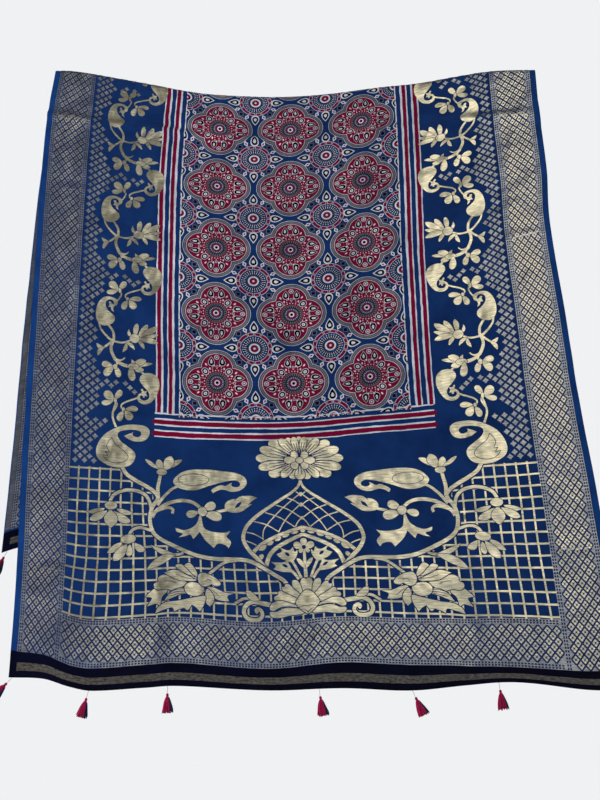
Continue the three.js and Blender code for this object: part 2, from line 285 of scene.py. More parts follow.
def cloth_material(
    name, colour, dark, rough, metal=0.0, threads=300, streak=0.0, sheen=0.0, grain=14
):
    """Woven thread of one colour, uneven towards a darker one; streaks run along the wefts.

    threads and grain are how many threads and how many uneven patches lie on a metre. Metallic
    thread also has broad crumples.
    """
    made = bpy.data.materials.new(name)
    made.use_nodes = True
    nodes, links = made.node_tree.nodes, made.node_tree.links
    shader = nodes["Principled BSDF"]
    shader.inputs["Roughness"].default_value = rough
    shader.inputs["Metallic"].default_value = metal
    shader.inputs["Sheen Weight"].default_value = sheen
    shader.inputs["Specular IOR Level"].default_value = 0.5 if metal else 0.06
    place_on, cross = weave_nodes(nodes, links, threads)
    stretch = add_node(nodes, "Mapping", Scale=(1, 1 + STREAK_STRETCH * streak, 1))
    noise = add_node(nodes, "TexNoise", Scale=grain, Detail=5, Roughness=0.65)
    ramp = add_node(nodes, "ValToRGB")
    for stop, position, end in zip(ramp.color_ramp.elements, (0.34, 0.62), (dark, colour)):
        stop.position = position
        stop.color = tint(end)
    links.new(place_on.outputs["UV"], stretch.inputs["Vector"])
    links.new(stretch.outputs["Vector"], noise.inputs["Vector"])
    links.new(noise.outputs["Fac"], ramp.inputs["Fac"])
    links.new(ramp.outputs["Color"], shader.inputs["Base Color"])
    bump = add_node(nodes, "Bump", Strength=0.3, Distance=0.0003)
    links.new(cross.outputs["Value"], bump.inputs["Height"])
    links.new(bump.outputs["Normal"], shader.inputs["Normal"])
    if metal:
        crumple = add_node(nodes, "TexNoise", Scale=20, Detail=2)
        lean = add_node(nodes, "Bump", Strength=0.6, Distance=0.015)
        links.new(place_on.outputs["UV"], crumple.inputs["Vector"])
        links.new(crumple.outputs["Fac"], lean.inputs["Height"])
        links.new(lean.outputs["Normal"], bump.inputs["Normal"])
    return made


BLUE = cloth_material("blue_weave", (14, 43, 88), (8, 32, 72), 0.8, sheen=0.02)
BLUE_BACK = cloth_material("blue_weave_reverse", (24, 52, 96), (16, 42, 82), 0.8, sheen=0.02)
HEM = cloth_material("hem_weave", (4, 5, 24), (2, 2, 14), 0.7)
MAROON = cloth_material("maroon_yarn", (156, 6, 64), (112, 2, 44), 0.6, sheen=0.1)
NAVY_YARN = cloth_material("navy_yarn", (16, 30, 78), (8, 16, 50), 0.6, sheen=0.1)
THREAD = cloth_material("pale_thread", (190, 160, 160), (150, 110, 120), 0.6)


# ---- meshes ----
def as_object(name, points, faces, materials, face_material, uv):
    """A mesh object at the origin from points in mm and rows of corners, with its cloth places."""
    mesh = bpy.data.meshes.new(name)
    count, sides = faces.shape
    corners = faces.ravel().astype(np.int32)
    mesh.vertices.add(len(points))
    mesh.vertices.foreach_set("co", (points * METRE).astype(np.float32).ravel())
    mesh.loops.add(len(corners))
    mesh.loops.foreach_set("vertex_index", corners)
    mesh.polygons.add(count)
    mesh.polygons.foreach_set("loop_start", np.arange(count, dtype=np.int32) * sides)
    mesh.polygons.foreach_set("material_index", np.asarray(face_material, np.int32))
    mesh.polygons.foreach_set("use_smooth", np.ones(count, bool))
    low, high = uv.min(0), uv.max(0)
    maps = {"OFBake": (uv - low) / (high - low), "Cloth": uv * METRE}
    for map_name, values in maps.items():
        layer = mesh.uv_layers.new(name=map_name, do_init=False)
        layer.uv.foreach_set("vector", values[corners].astype(np.float32).ravel())
    for material in materials:
        mesh.materials.append(material)
    mesh.update(calc_edges=True)
    mesh.validate()
    made = bpy.data.objects.new(name, mesh)
    bpy.context.collection.objects.link(made)
    return made


def grid_faces(width, height):
    """Quads over a grid of points held column by column, seen from its outer side."""
    i, j = np.meshgrid(np.arange(width - 1), np.arange(height - 1), indexing="ij")
    a = (i * height + j).ravel()
    return np.stack([a, a + height, a + height + 1, a + 1], 1)


def stations(parts):
    """Places along a line, from (end, step) pairs that each carry on from the last."""
    at = [parts[0]]
    for end, step in parts[1:]:
        count = max(1, round(abs(end - at[-1]) / step))
        at += list(np.linspace(at[-1], end, count + 1)[1:])
    return np.array(at)


SHEET_THICKNESS = 0.4
SHEET_COLUMNS = stations([-HALF, (-300, 9.5), (-244, 4.5), (255, 9.5), (315, 4.5), (HALF, 9.5)])
STRIP_TOP, STRIP_LOW = 1251, 1264  # the hem's paler woven strip
# the sheet's rows on the front, as lengths of warp below the line at the cloth's middle
FRONT_ROWS = stations([
    FRONT_LENGTH - QUARTER, (STRIP_LOW - QUARTER, 9), (STRIP_TOP - QUARTER, 6),
    (FRONT_LENGTH - HEM_BAND - QUARTER, 6), (1000, 8.5), (150, 9.5), (72, 3.2), (0, 8),
])
ARC_ROWS = np.linspace(0, 1, 15)[1:]  # shares of the turn over the line
BACK_ROWS = np.linspace(0, 1, 116)[1:]  # shares of the back fall
LEVEL_FROM, LEVEL_OVER = 180, 500  # rows follow the line near it, and the wefts further down
BLUE_FACE, HEM_FACE, REVERSE_FACE = range(3)
REVERSE_SHIFT = WIDTH + 20  # the reverse lies beside the front in the cloth's coordinates


def sheet_rows(start):
    """The v of each row of a column whose front fall starts at start, from the front hem round."""
    extra = start - QUARTER
    front = FRONT_ROWS + QUARTER + extra * (1 - ease((FRONT_ROWS - LEVEL_FROM) / LEVEL_OVER))
    arc = start - 2 * QUARTER * ARC_ROWS
    back = lerp(start - 2 * QUARTER, -BACK_LENGTH, BACK_ROWS)
    return np.concatenate([front, arc, back])


def hem_or(kind, v):
    """The hem's material within the dark bands, and another elsewhere."""
    in_hem = (v > FRONT_LENGTH - HEM_BAND) | (v < HEM_BAND - BACK_LENGTH)
    return np.where(in_hem, HEM_FACE, kind)


def make_sheet():
    """The cloth as a thin closed sheet."""
    starts = np.interp(SHEET_COLUMNS, START_U, START_V)
    v = np.stack([sheet_rows(start) for start in starts])
    u = np.repeat(SHEET_COLUMNS[:, None], v.shape[1], 1)
    middle, normal = place(u.ravel(), v.ravel()), outward(u.ravel(), v.ravel())
    half = SHEET_THICKNESS / 2
    points = np.concatenate([middle + half * normal, middle - half * normal])
    width, height = v.shape
    face = grid_faces(width, height)
    count = width * height
    rim = np.concatenate([
        np.arange(width - 1) * height,
        (width - 1) * height + np.arange(height - 1),
        np.arange(width - 1, 0, -1) * height + height - 1,
        np.arange(height - 1, 0, -1),
    ])
    after = np.roll(rim, -1)
    sides = np.stack([after, rim, rim + count, after + count], 1)
    faces = np.concatenate([face, face[:, ::-1] + count, sides])
    flat_uv = np.stack([u.ravel(), v.ravel()], 1)
    face_v, side_v = flat_uv[face].mean(1)[:, 1], flat_uv[rim][:, 1]
    kind = np.concatenate([
        hem_or(BLUE_FACE, face_v), hem_or(REVERSE_FACE, face_v), hem_or(BLUE_FACE, side_v),
    ])
    uv = np.concatenate([flat_uv, flat_uv + (REVERSE_SHIFT, 0)])
    return as_object("dupatta", points, faces, (BLUE, HEM, BLUE_BACK), kind, uv)


# ---- drawing on the flat cloth ----
BOX = ((-1, -1), (1, -1), (1, 1), (-1, 1))
QUAD = ((0, 1, 2), (0, 2, 3))  # its triangles


def anticlockwise(polygon):
    """The polygon turned that way round."""
    x, y = np.array(polygon, float).T
    area = np.dot(x, np.roll(y, -1)) - np.dot(y, np.roll(x, -1))
    return np.array(polygon, float)[:: 1 if area > 0 else -1]


LONGEST_PULL = 1.25  # of a curve's tangent, as a share of the straight way to the next point


def smooth(points, step=2.5, closed=True):
    """A smooth line through points; a point with a third value is a sharp corner."""
    at = np.array([p[:2] for p in points], float)
    sharp = [len(p) > 2 for p in points]
    count = len(at)
    line = []
    for i in range(count if closed else count - 1):
        j = (i + 1) % count
        before = at[i - 1] if closed or i else at[i]
        after = at[(j + 1) % count] if closed or j < count - 1 else at[j]
        run = at[j] - at[i]
        length = np.linalg.norm(run)
        longest = LONGEST_PULL * length
        pull = [run if sharp[i] else (at[j] - before) / 2, run if sharp[j] else (after - at[i]) / 2]
        pull = [p * min(1, longest / (np.linalg.norm(p) + TINY)) for p in pull]
        t = np.linspace(0, 1, max(2, math.ceil(length / step)) + 1)[:-1, None]
        line.append(
            (2 * t ** 3 - 3 * t ** 2 + 1) * at[i] + (t ** 3 - 2 * t ** 2 + t) * pull[0]
            + (3 * t ** 2 - 2 * t ** 3) * at[j] + (t ** 3 - t ** 2) * pull[1]
        )
    if not closed:
        line.append(at[-1:])
    return np.concatenate(line)


def shape_at(corners, turn, x=0.0, y=0.0):
    """Corners turned by so many degrees about the origin and moved to (x, y)."""
    across, down = turned(*np.array(corners, float).T, turn)
    return np.stack([x + across, y + down], 1)


def disc(x, y, radius, sides, wide=1.0, turn=0.0):
    """A round or, where wide isn't 1, an oval whose long way is turned from level by turn degrees."""
    angle = 2 * np.pi * (np.arange(sides) + 0.5) / sides
    return shape_at(np.stack([wide * radius * np.cos(angle), radius * np.sin(angle)], 1), turn, x, y)


def kite(width, height):
    """The corners of an upright rhombus."""
    return np.array([(0, -height), (width, 0), (0, height), (-width, 0)]) / 2


def box_shape(width, height, turn=0.0):
    """The corners of a box."""
    return shape_at(np.array(BOX) * (width / 2, height / 2), turn)


# how full a leaf is towards its base and its tip: 0.5 is round and 1 is pointed
FULLNESS = {
    "leaf": (0.9, 0.95), "petal": (1.0, 0.7), "round": (0.9, 0.5), "oval": (0.5, 0.5),
    "tear": (0.5, 1.0),
}
LEAF_STEP = 3
LEAF_STEPS = (5, 12)  # the fewest and the most


def leaf(x0, y0, x1, y1, width, bend=0, kind="leaf", grow=0):
    """A leaf from its base to its tip, bowed sideways by bend, and larger all round by grow."""
    base, tip = np.array((x0, y0), float), np.array((x1, y1), float)
    length = np.linalg.norm(tip - base)
    run = (tip - base) / length
    base, tip = base - run * grow, tip + run * grow
    side = np.array((-run[1], run[0]))
    a, b = FULLNESS[kind]
    steps = int(np.clip(round(length / LEAF_STEP), *LEAF_STEPS))
    t = (1 - np.cos(np.pi * np.linspace(0, 1, steps + 1))) / 2
    shape = t ** a * (1 - t) ** b
    peak = a / (a + b)
    half = (width / 2 + grow) * shape / (peak ** a * (1 - peak) ** b)
    middle = base + np.outer(t, tip - base) + np.outer(4 * t * (1 - t) * bend, side)
    return np.concatenate([middle + np.outer(half, side), (middle - np.outer(half, side))[-2:0:-1]])


def stroke(points, start, end=None, step=3.5):
    """A stem through points, start wide at its first and end wide at its last."""
    line = smooth(points, step, closed=False)
    run = np.gradient(line, axis=0)
    side = unit(np.stack([-run[:, 1], run[:, 0]], 1))
    width = np.linspace(start, start if end is None else end, len(line))
    half = side * width[:, None] / 2
    return np.concatenate([line + half, (line - half)[::-1]])


NEAREST = 0.85  # points that come nearer than this share of the move are left out


def grown(polygon, by):
    """A polygon made larger all round, or smaller where by is under 0."""
    polygon = anticlockwise(polygon)
    run = np.roll(polygon, -1, 0) - np.roll(polygon, 1, 0)
    larger = polygon + unit(np.stack([run[:, 1], -run[:, 0]], 1)) * by
    gap = np.linalg.norm(larger[:, None] - polygon[None], axis=2).min(1)
    return larger[gap > NEAREST * abs(by)]


MERGE = 1e-4  # points that are closer than this are one
INSIDE_ONLY = 1  # the triangulation keeps what lies in a polygon


def paint(layers, step, base=False):
    """Cuts layered polygons into triangles, each with the ink of the topmost polygon over it.

    Ink None is bare cloth. Extra points lie on a grid of about this step. With base, nothing is
    left outside the first polygon. Returns points, triangles and each triangle's ink.
    """
    points, faces = [], []
    for polygon, _ in layers:
        faces.append(list(range(len(points), len(points) + len(polygon))))
        points += [tuple(p) for p in anticlockwise(polygon)]
    at = np.array(points)
    low, high = at.min(0), at.max(0)
    count = np.maximum(1, np.ceil((high - low) / step)).astype(int)
    for x in np.linspace(low[0], high[0], count[0] + 1):
        points += [(x, y) for y in np.linspace(low[1], high[1], count[1] + 1)]
    made = delaunay_2d_cdt([Vector(p) for p in points], [], faces, INSIDE_ONLY, MERGE, True)
    keep, inks = [], []
    for triangle, over in zip(made[2], made[5]):
        if not over or (base and 0 not in over):
            continue
        ink = layers[max(over)][1]
        if ink is not None:
            keep.append(triangle)
            inks.append(ink)
    return np.array([tuple(p) for p in made[0]]), np.array(keep), np.array(inks)


def used_only(points, faces):
    """The same faces without the points that none of them uses."""
    used, faces_of = np.unique(faces, return_inverse=True)
    return points[used], faces_of.reshape(faces.shape)


def joined(drawings):
    """Several (points, triangles, inks) as one."""
    counts = np.cumsum([0] + [len(points) for points, _, _ in drawings])
    points = np.concatenate([points for points, _, _ in drawings])
    faces = np.concatenate([faces + n for (_, faces, _), n in zip(drawings, counts)])
    return points, faces, np.concatenate([inks for _, _, inks in drawings])


def halved(quads):
    """Quads as triangles."""
    return np.concatenate([quads[:, corners] for corners in QUAD])


def of_ink(parts, ink):
    """Plain parts as a drawing in one ink, all turned the same way round."""
    made = []
    for points, faces in parts:
        corner = points[faces]
        a, b = corner[:, 1] - corner[:, 0], corner[:, 2] - corner[:, 0]
        over = a[:, 0] * b[:, 1] < a[:, 1] * b[:, 0]
        faces = np.where(over[:, None], faces[:, ::-1], faces)
        made.append((points, faces, np.full(len(faces), ink)))
    return joined(made)


def shapes_at(places, shape, fan=QUAD):
    """One shape at each of many places, cut into the triangles of its fan."""
    shape, places = np.array(shape, float), np.array(places, float)
    points = (places[:, None] + shape[None]).reshape(-1, 2)
    first = np.arange(len(places))[:, None] * len(shape)
    return points, np.concatenate([first + corners for corners in fan])


PATCH_STEP = 6


def sheet_patch(u0, u1, v0, v1):
    """A plain patch, as triangles."""
    sides = []
    for low, high in ((u0, u1), (v0, v1)):
        sides.append(np.linspace(low, high, max(1, math.ceil((high - low) / PATCH_STEP)) + 1))
    points = np.stack(np.meshgrid(*sides, indexing="ij"), -1).reshape(-1, 2)
    return points, halved(grid_faces(len(sides[0]), len(sides[1])))


def moved(drawing, v):
    """A drawing further down the cloth."""
    points, faces, inks = drawing
    return points + (0, v), faces, inks


def flipped(drawing, signs):
    """A drawing mirrored, its triangles still facing out."""
    points, faces, inks = drawing
    return points * signs, faces[:, ::-1], inks


def lay(name, drawing, ink, material, slot, height):
    """Lays one ink of a drawing on the cloth as a thin piece; a height under 0 is on the reverse."""
    points, faces, inks = drawing
    flat, faces = used_only(points, faces[inks == ink])
    order = (0, 2, 1) if height > 0 else (0, 1, 2)
    place_on = on_cloth(flat[:, 0], flat[:, 1], height)
    piece = as_object(name, place_on, faces[:, order], (material,), np.zeros(len(faces)), flat)
    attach(piece, "root")
    return piece


# ---- the block print: one repeat, a lobed flower with quarters of four round ones ----
REPEAT_ACROSS, REPEAT_DOWN = 152, 150
CELL = 150
CRIMSON_INK, CREAM_INK, BLACK_INK, GREY_INK, ZARI_INK, ZARI_DULL = range(6)
LOBE_AT, LOBE_SIDES = 30, 22
QUARTERS = (0, 90, 180, 270)
FLOWER_OUTLINES = (  # radius of the lobes, ink
    (39.3, CREAM_INK), (38.4, BLACK_INK), (37.2, GREY_INK), (32.9, BLACK_INK), (31.7, CREAM_INK),
    (30.7, CRIMSON_INK),
)
FLOWER_RINGS = ((21.6, 36, GREY_INK), (20.6, 36, BLACK_INK))  # radius, sides, ink
FLOWER_HEART = ((14.2, 32, GREY_INK), (13.4, 32, None))
FLOWER_EYE = ((9.4, 26, CRIMSON_INK), (5.6, 20, CREAM_INK), (3.2, 12, BLACK_INK))
FLOWER_DOTS = ((28, 25.4, 0.5, 1.2), (20, 29.4, 0, 1.05), (12, 33.7, 0.5, 1))  # as dots() takes them
HEART_DOTS = (20, 11.6, 0, 0.95, 5)
FLOWER_SPOKES = (26, 16.2, 20.2, 2.5, GREY_INK)  # as spokes() takes them
TEAR_OUT, TEAR_OFF = 44.5, 10.8  # a tear drop's middle, outwards and off the lobe's middle
TEAR_DOT_OUT, TIP_OUT, ROOT_OUT, NOTCH_OUT = 43, 53, 34.2, 23.2
LOBE_TEAR = ((20.2, 13.2, CREAM_INK), (18.6, 11.8, BLACK_INK), (9.6, 4.4, CREAM_INK))  # length, width
LOBE_SEEDS = ((37.5, 21.5, 1.9, 40), (29, 14.2, 1.5, 10), (35.5, 5.6, 1.2, 0))  # out, off, long, lean
SEED_DISC, TEAR_DOT = (1.6, 8), (1, 6)  # radius, sides
LOBE_TIP = ((5.0, 12, CREAM_INK), (3.9, 12, GREY_INK), (1.6, 6, CREAM_INK))
LOBE_ROOT = ((3.2, 4, CREAM_INK), (2.1, 4, BLACK_INK))
NOTCH_LONG = 1.18
NOTCH_OVAL = ((6.9, 14, CREAM_INK), (6.0, 14, BLACK_INK), (3.2, 14, CREAM_INK), (1.3, 14, GREY_INK))
DASHES = ((45, 19.5), (12.2, 10.2), (-12.2, 10.2))  # middle and half width in degrees
DASH_BORDERS = ((27.2, 35.0, 0, CREAM_INK), (28.1, 34.1, 1.4, CRIMSON_INK))  # near, far, less, ink
WHEEL_DOTS = (28, 23.2, 0.5, 1.15)
WHEEL_DISC = ((20.4, 40, CREAM_INK),)
WHEEL_SPOKES = (28, 14.6, 20.6, 3.0, BLACK_INK)
WHEEL_EYE = ((15.2, 30, None), (11.2, 26, CREAM_INK), (8.0, 22, CRIMSON_INK), (2.4, 10, CREAM_INK))
ALMOND_OUT, ALMOND_EYE_OUT, SQUARE_OUT = 47, 45.59, 43.4
ALMOND = ((27, 17.5, CREAM_INK), (21, 13.4, BLACK_INK))  # length, width
ALMOND_EYE = (9, 6.6)
RHOMBUS_AT = (42.8, math.degrees(math.atan2(18, 38.5)))  # how far out, degrees from the nearest axis
RHOMBI = ((14.5, 9, CREAM_INK), (7, 3.8, CRIMSON_INK))
CORNER_SQUARE = ((7.2, 4, GREY_INK), (5.4, 4, None), (3.9, 4, BLACK_INK))


def four_lobes(radius):
    """The union of four circles about the middle, where each one meets the next on a diagonal."""
    spread = math.asin(min(1, LOBE_AT * math.sqrt(0.5) / radius)) + math.pi / 4
    angle = np.linspace(-spread, spread, LOBE_SIDES)[:-1]
    lobe = np.stack([LOBE_AT + radius * np.cos(angle), radius * np.sin(angle)], 1)
    return np.concatenate([shape_at(lobe, turn) for turn in QUARTERS])


def around(count, radius, start=0.0):
    """Places round a circle: x, y and the direction outwards in degrees."""
    for k in range(count):
        turn = 360 * (k + start) / count
        yield *turned(radius, 0, turn), turn


def pointed(x, y, turn, length, width):
    """A tear drop about (x, y) whose point is at its far end."""
    base, tip = shape_at(((-length / 2, 0), (length / 2, 0)), turn, x, y)
    return leaf(*base, *tip, width, 0, "tear")


def discs(x, y, rows, wide=1.0, turn=0.0):
    """Discs about one place, the lowest first, from rows of radius, sides and ink."""
    return [(disc(x, y, radius, sides, wide, turn), ink) for radius, sides, ink in rows]


def dots(count, radius, start, size, sides=6):
    """A ring of cream dots."""
    return [(disc(x, y, size, sides), CREAM_INK) for x, y, _ in around(count, radius, start)]


def spokes(count, near, far, width, ink):
    """A ring of short radial strokes."""
    stroke_box = box_shape(far - near, width)
    middle = (near + far) / 2
    return [(shape_at(stroke_box, turn, x, y), ink) for x, y, turn in around(count, middle)]


def flower_layers():
    """The lobed flower and the ovals between its lobes."""
    layers = [(four_lobes(radius), ink) for radius, ink in FLOWER_OUTLINES]
    for row in FLOWER_DOTS:
        layers += dots(*row)
    layers += discs(0, 0, FLOWER_RINGS) + spokes(*FLOWER_SPOKES)
    layers += discs(0, 0, FLOWER_HEART) + dots(*HEART_DOTS) + discs(0, 0, FLOWER_EYE)
    for turn in QUARTERS:
        for side in (-1, 1):
            x, y = turned(TEAR_OUT, side * TEAR_OFF, turn)
            layers += [(pointed(x, y, turn, length, width), ink) for length, width, ink in LOBE_TEAR]
            x, y = turned(TEAR_DOT_OUT, side * TEAR_OFF, turn)
            layers.append((disc(x, y, *TEAR_DOT), GREY_INK))
            for out, off, long, lean in LOBE_SEEDS:
                x, y = turned(out, side * off, turn)
                layers.append((disc(x, y, *SEED_DISC, long, turn + side * lean), CREAM_INK))
        layers += discs(*turned(TIP_OUT, 0, turn), LOBE_TIP)
        layers += discs(*turned(ROOT_OUT, 0, turn), LOBE_ROOT, 1, turn)
        layers += discs(*turned(NOTCH_OUT, NOTCH_OUT, turn), NOTCH_OVAL, NOTCH_LONG, turn + 45)
    return layers


def wheel_layers():
    """The round flower: dashes, dots and spokes about a crimson eye, with almonds beyond it."""
    layers = []
    for turn in QUARTERS:
        for middle, half in DASHES:
            for near, far, less, ink in DASH_BORDERS:
                span = half - less
                arc = np.radians(turn + middle + np.linspace(-span, span, 8))
                ring = np.stack([np.cos(arc), np.sin(arc)], 1)
                layers.append((np.concatenate([far * ring, near * ring[::-1]]), ink))
    layers += dots(*WHEEL_DOTS) + discs(0, 0, WHEEL_DISC)
    layers += spokes(*WHEEL_SPOKES) + discs(0, 0, WHEEL_EYE)
    for turn in QUARTERS:
        x, y = turned(ALMOND_OUT, 0, turn)
        layers += [(pointed(x, y, turn, length, width), ink) for length, width, ink in ALMOND]
        x, y = turned(ALMOND_EYE_OUT, 0, turn)
        layers.append((pointed(x, y, turn, *ALMOND_EYE), CREAM_INK))
    out, off = RHOMBUS_AT
    for turn in QUARTERS:
        for lean in (-off, off):
            x, y = turned(out, 0, turn + lean)
            for length, width, ink in RHOMBI:
                layers.append((shape_at(kite(length, width), turn + lean, x, y), ink))
    for x, y, _ in around(4, SQUARE_OUT, 0.5):
        layers += discs(x, y, CORNER_SQUARE)
    return layers


# how the printed block's rows and columns drift on the cloth
PRINT_COLUMNS = np.array([  # down, middle, scale
    (-600, 0, 1), (0, 6, 1.005), (100, 4, 1.01), (250, -1, 1.012), (400, -4, 1.0),
    (555, -6, 0.99), (700, -6, 0.975), (820, -6, 0.975),
], float)
PRINT_ROWS = np.array([(-280, 1), (-150, 2.5), (0, 0), (150, -10), (280, -12)], float)  # across, drop
PRINT_ROW_AT = 703  # the lowest whole row on the front
PRINT_ROW_COUNT = 9
PRINT_STEP = 9


def printed(points):
    """From places on the printing blocks to places on the cloth."""
    across, down = points[:, 0], points[:, 1]
    u = follow(PRINT_COLUMNS, 1, down) + across * follow(PRINT_COLUMNS, 2, down)
    return np.stack([u, down + follow(PRINT_ROWS, 1, across)], 1)


def print_panel():
    """The printed field: copies of one repeat that follow the print's drift."""
    half = CELL / 2
    layers = [(half * np.array(BOX, float), None)]
    for x in (-half, half):
        for y in (-half, half):
            layers += [(polygon + (x, y), ink) for polygon, ink in wheel_layers()]
    points, faces, inks = paint(layers + flower_layers(), PRINT_STEP, base=True)
    scale = (REPEAT_ACROSS / CELL, REPEAT_DOWN / CELL)
    cells = []
    for row in range(PRINT_ROW_COUNT):
        for column in (-1, 0, 1):
            at = (column * REPEAT_ACROSS, PRINT_ROW_AT - row * REPEAT_DOWN)
            cells.append((printed(points * scale + at), faces, inks))
    return joined(cells)


# ---- the printed stripes, from the outer one in or from the lower one up: ink and width ----
STRIPES = (
    (CREAM_INK, 2.6), (CRIMSON_INK, 8), (CREAM_INK, 4), (None, 8.7), (CREAM_INK, 2.5),
    (CRIMSON_INK, 7.5), (CREAM_INK, 4.5), (None, 9), (CREAM_INK, 2.5),
)
END_STRIPES = (
    (CREAM_INK, 2.4), (CRIMSON_INK, 9), (CREAM_INK, 3), (None, 8.2), (CREAM_INK, 3),
    (CRIMSON_INK, 8.8), (CREAM_INK, 2.6), (None, 8.6), (CREAM_INK, 3),
)
BACK_TURN = 200  # a v on the back end is this less the one on the front end
STRIPES_OUTER = 275
END_STRIPES_LOW = 820
END_STRIPES_BACK = BACK_TURN - END_STRIPES_LOW
STRIPE_ENDS = (END_STRIPES_BACK + 48, END_STRIPES_LOW - 47)  # of the side stripes, along the cloth
END_STRIPE_ENDS = (-276, 272)  # of the end stripes, across it
CRIMSON_SPILL = 4  # how much further the end's crimson stripes run
STRIPE_STEP, END_STRIPE_STEP = 3, 4
RAGGED, RAGGED_OVER = 0.7, 5  # how far an edge wavers, and over how many steps it is smoothed
STRIPE_SEED = 11


def ribbon(a, b, ends, step, along_down, random):
    """A strip between two lines a and b, as triangles; its edges waver."""
    count = max(2, round((ends[1] - ends[0]) / step))
    run = np.linspace(*ends, count + 1)
    even = np.ones(RAGGED_OVER) / RAGGED_OVER
    points = []
    for line in (a, b):
        waver = np.convolve(random.normal(0, RAGGED, count + RAGGED_OVER), even, "valid")
        side = line + waver
        points.append(np.stack([side, run] if along_down else [run, side], 1))
    k = np.arange(count)
    return np.concatenate(points), halved(np.stack([k, k + 1, k + count + 2, k + count + 1], 1))


def stripe_drawing():
    """The stripes down both sides, then those across both ends."""
    strips = []  # ink, then what ribbon() takes
    for side in (-1, 1):
        at = STRIPES_OUTER
        for ink, width in STRIPES:
            strips.append((ink, side * at, side * (at - width), STRIPE_ENDS, STRIPE_STEP, True))
            at -= width
    for down, at in ((-1, END_STRIPES_LOW), (1, END_STRIPES_BACK)):
        for ink, width in END_STRIPES:
            spill = CRIMSON_SPILL if ink == CRIMSON_INK else 0
            ends = (END_STRIPE_ENDS[0] - spill, END_STRIPE_ENDS[1] + spill)
            strips.append((ink, at, at + down * width, ends, END_STRIPE_STEP, False))
            at += down * width
    random = np.random.default_rng(STRIPE_SEED)
    made = []
    for ink, *strip in strips:
        if ink is not None:
            points, faces = ribbon(*strip, random)
            made.append(of_ink([(printed(points), faces)], ink))
    return joined(made)


# ---- the woven gold: bands along the edges, a trellis, a grid, a vine and the end's flowers ----
BAND_INNER, BAND_OUTER = 436, 520
LADDER = 9.5
LADDER_STEP, LADDER_SIDE = 5.4, 2  # between its marks, and from its middle to each row of them
LADDER_ENDS = (3, 2)  # bare at its start and at its end
LADDER_MARK = (2.6, 3.4)
END_BAND_TOP, END_BAND_LOW = 1155, 1234
DIAMOND_ACROSS, DIAMOND_DOWN = 15, 17
BAND_PETALS = (  # x, y, width, height
    (0, -3.6, 4.4, 4.6), (0, 3.6, 4.4, 4.6), (-3.2, 0, 3.8, 4.2), (3.2, 0, 3.8, 4.2),
)
BAND_EYE = (3.6, 4.2)
NET_LINE, NET_SHARE = 2.5, 0.94  # a net line's width, and how much of a diamond's edge it covers


def lattice(u0, u1, v0, v1, across, down):
    """Places of a lattice with a half step between its rows, kept within a box."""
    places = []
    for k, v in enumerate(np.arange(v0, v1 + 0.01, down / 2)):
        shift = across / 2 * (k % 2)
        places += [(u, v) for u in np.arange(u0 + shift, u1 + 0.01, across)]
    return np.array(places)


def band_marks(u0, u1, v0, v1):
    """The diamonds of a woven band in a box: gold petals, and their blue eyes and net."""
    across, down = DIAMOND_ACROSS, DIAMOND_DOWN
    columns, rows = round((u1 - u0) / (across / 2)), round((v1 - v0) / (down / 2))
    across, down = 2 * (u1 - u0) / columns, 2 * (v1 - v0) / rows
    centres = lattice(u0 + across / 2, u1 - across / 2, v0 + down / 2, v1 - down / 2, across, down)
    petals = [shapes_at(centres + (x, y), kite(*size)) for x, y, *size in BAND_PETALS]
    marks = [shapes_at(centres, kite(*BAND_EYE))]
    slope = math.degrees(math.atan2(down, across))
    length = math.hypot(across, down) / 2 * NET_SHARE
    for turn in (slope, -slope):
        half = np.array((across / 4, -math.copysign(down / 4, turn)))
        middles = np.unique(np.round(np.concatenate([centres + half, centres - half]), 3), axis=0)
        marks.append(shapes_at(middles, box_shape(length, NET_LINE, turn)))
    return petals, marks


def ladder_marks(u0, u1, v0, v1):
    """Two rows of small dark squares along a narrow strip."""
    along_v = v1 - v0 > u1 - u0
    low, high = (v0, v1) if along_v else (u0, u1)
    middle = (u0 + u1) / 2 if along_v else (v0 + v1) / 2
    run = np.arange(low + LADDER_ENDS[0], high - LADDER_ENDS[1], LADDER_STEP)
    places = []
    for side in (-LADDER_SIDE, LADDER_SIDE):
        row = np.full(len(run), middle + side)
        places.append(np.stack([row, run] if along_v else [run, row], 1))
    return shapes_at(np.concatenate(places), box_shape(*LADDER_MARK[:: 1 if along_v else -1]))


def bands():
    """The ground of the woven bands, then their brighter petals and their blue marks."""
    front = (END_BAND_TOP, END_BAND_LOW)
    back = (BACK_TURN - END_BAND_LOW, BACK_TURN - END_BAND_TOP)
    boxes = [(-BAND_OUTER, -BAND_INNER, back[0], front[1]), (BAND_INNER, BAND_OUTER, back[0], front[1])]
    boxes += [(-BAND_INNER, BAND_INNER, *front), (-BAND_INNER, BAND_INNER, *back)]
    petals, marks = [], []
    for u0, u1, v0, v1 in boxes:
        if v1 - v0 > u1 - u0:
            inner = (u0 + LADDER, u1 - LADDER, v0, v1)
            ladders = ((u0, inner[0], v0, v1), (inner[1], u1, v0, v1))
        else:
            inner = (u0, u1, v0 + LADDER, v1 - LADDER)
            ladders = ((u0, u1, v0, inner[2]), (u0, u1, inner[3], v1))
        found_petals, found_marks = band_marks(*inner)
        petals += found_petals
        marks += found_marks + [ladder_marks(*ladder) for ladder in ladders]
    grounds = [sheet_patch(*box) for box in boxes]
    return of_ink(grounds, ZARI_DULL), of_ink(petals, ZARI_INK), of_ink(marks, BLACK_INK)


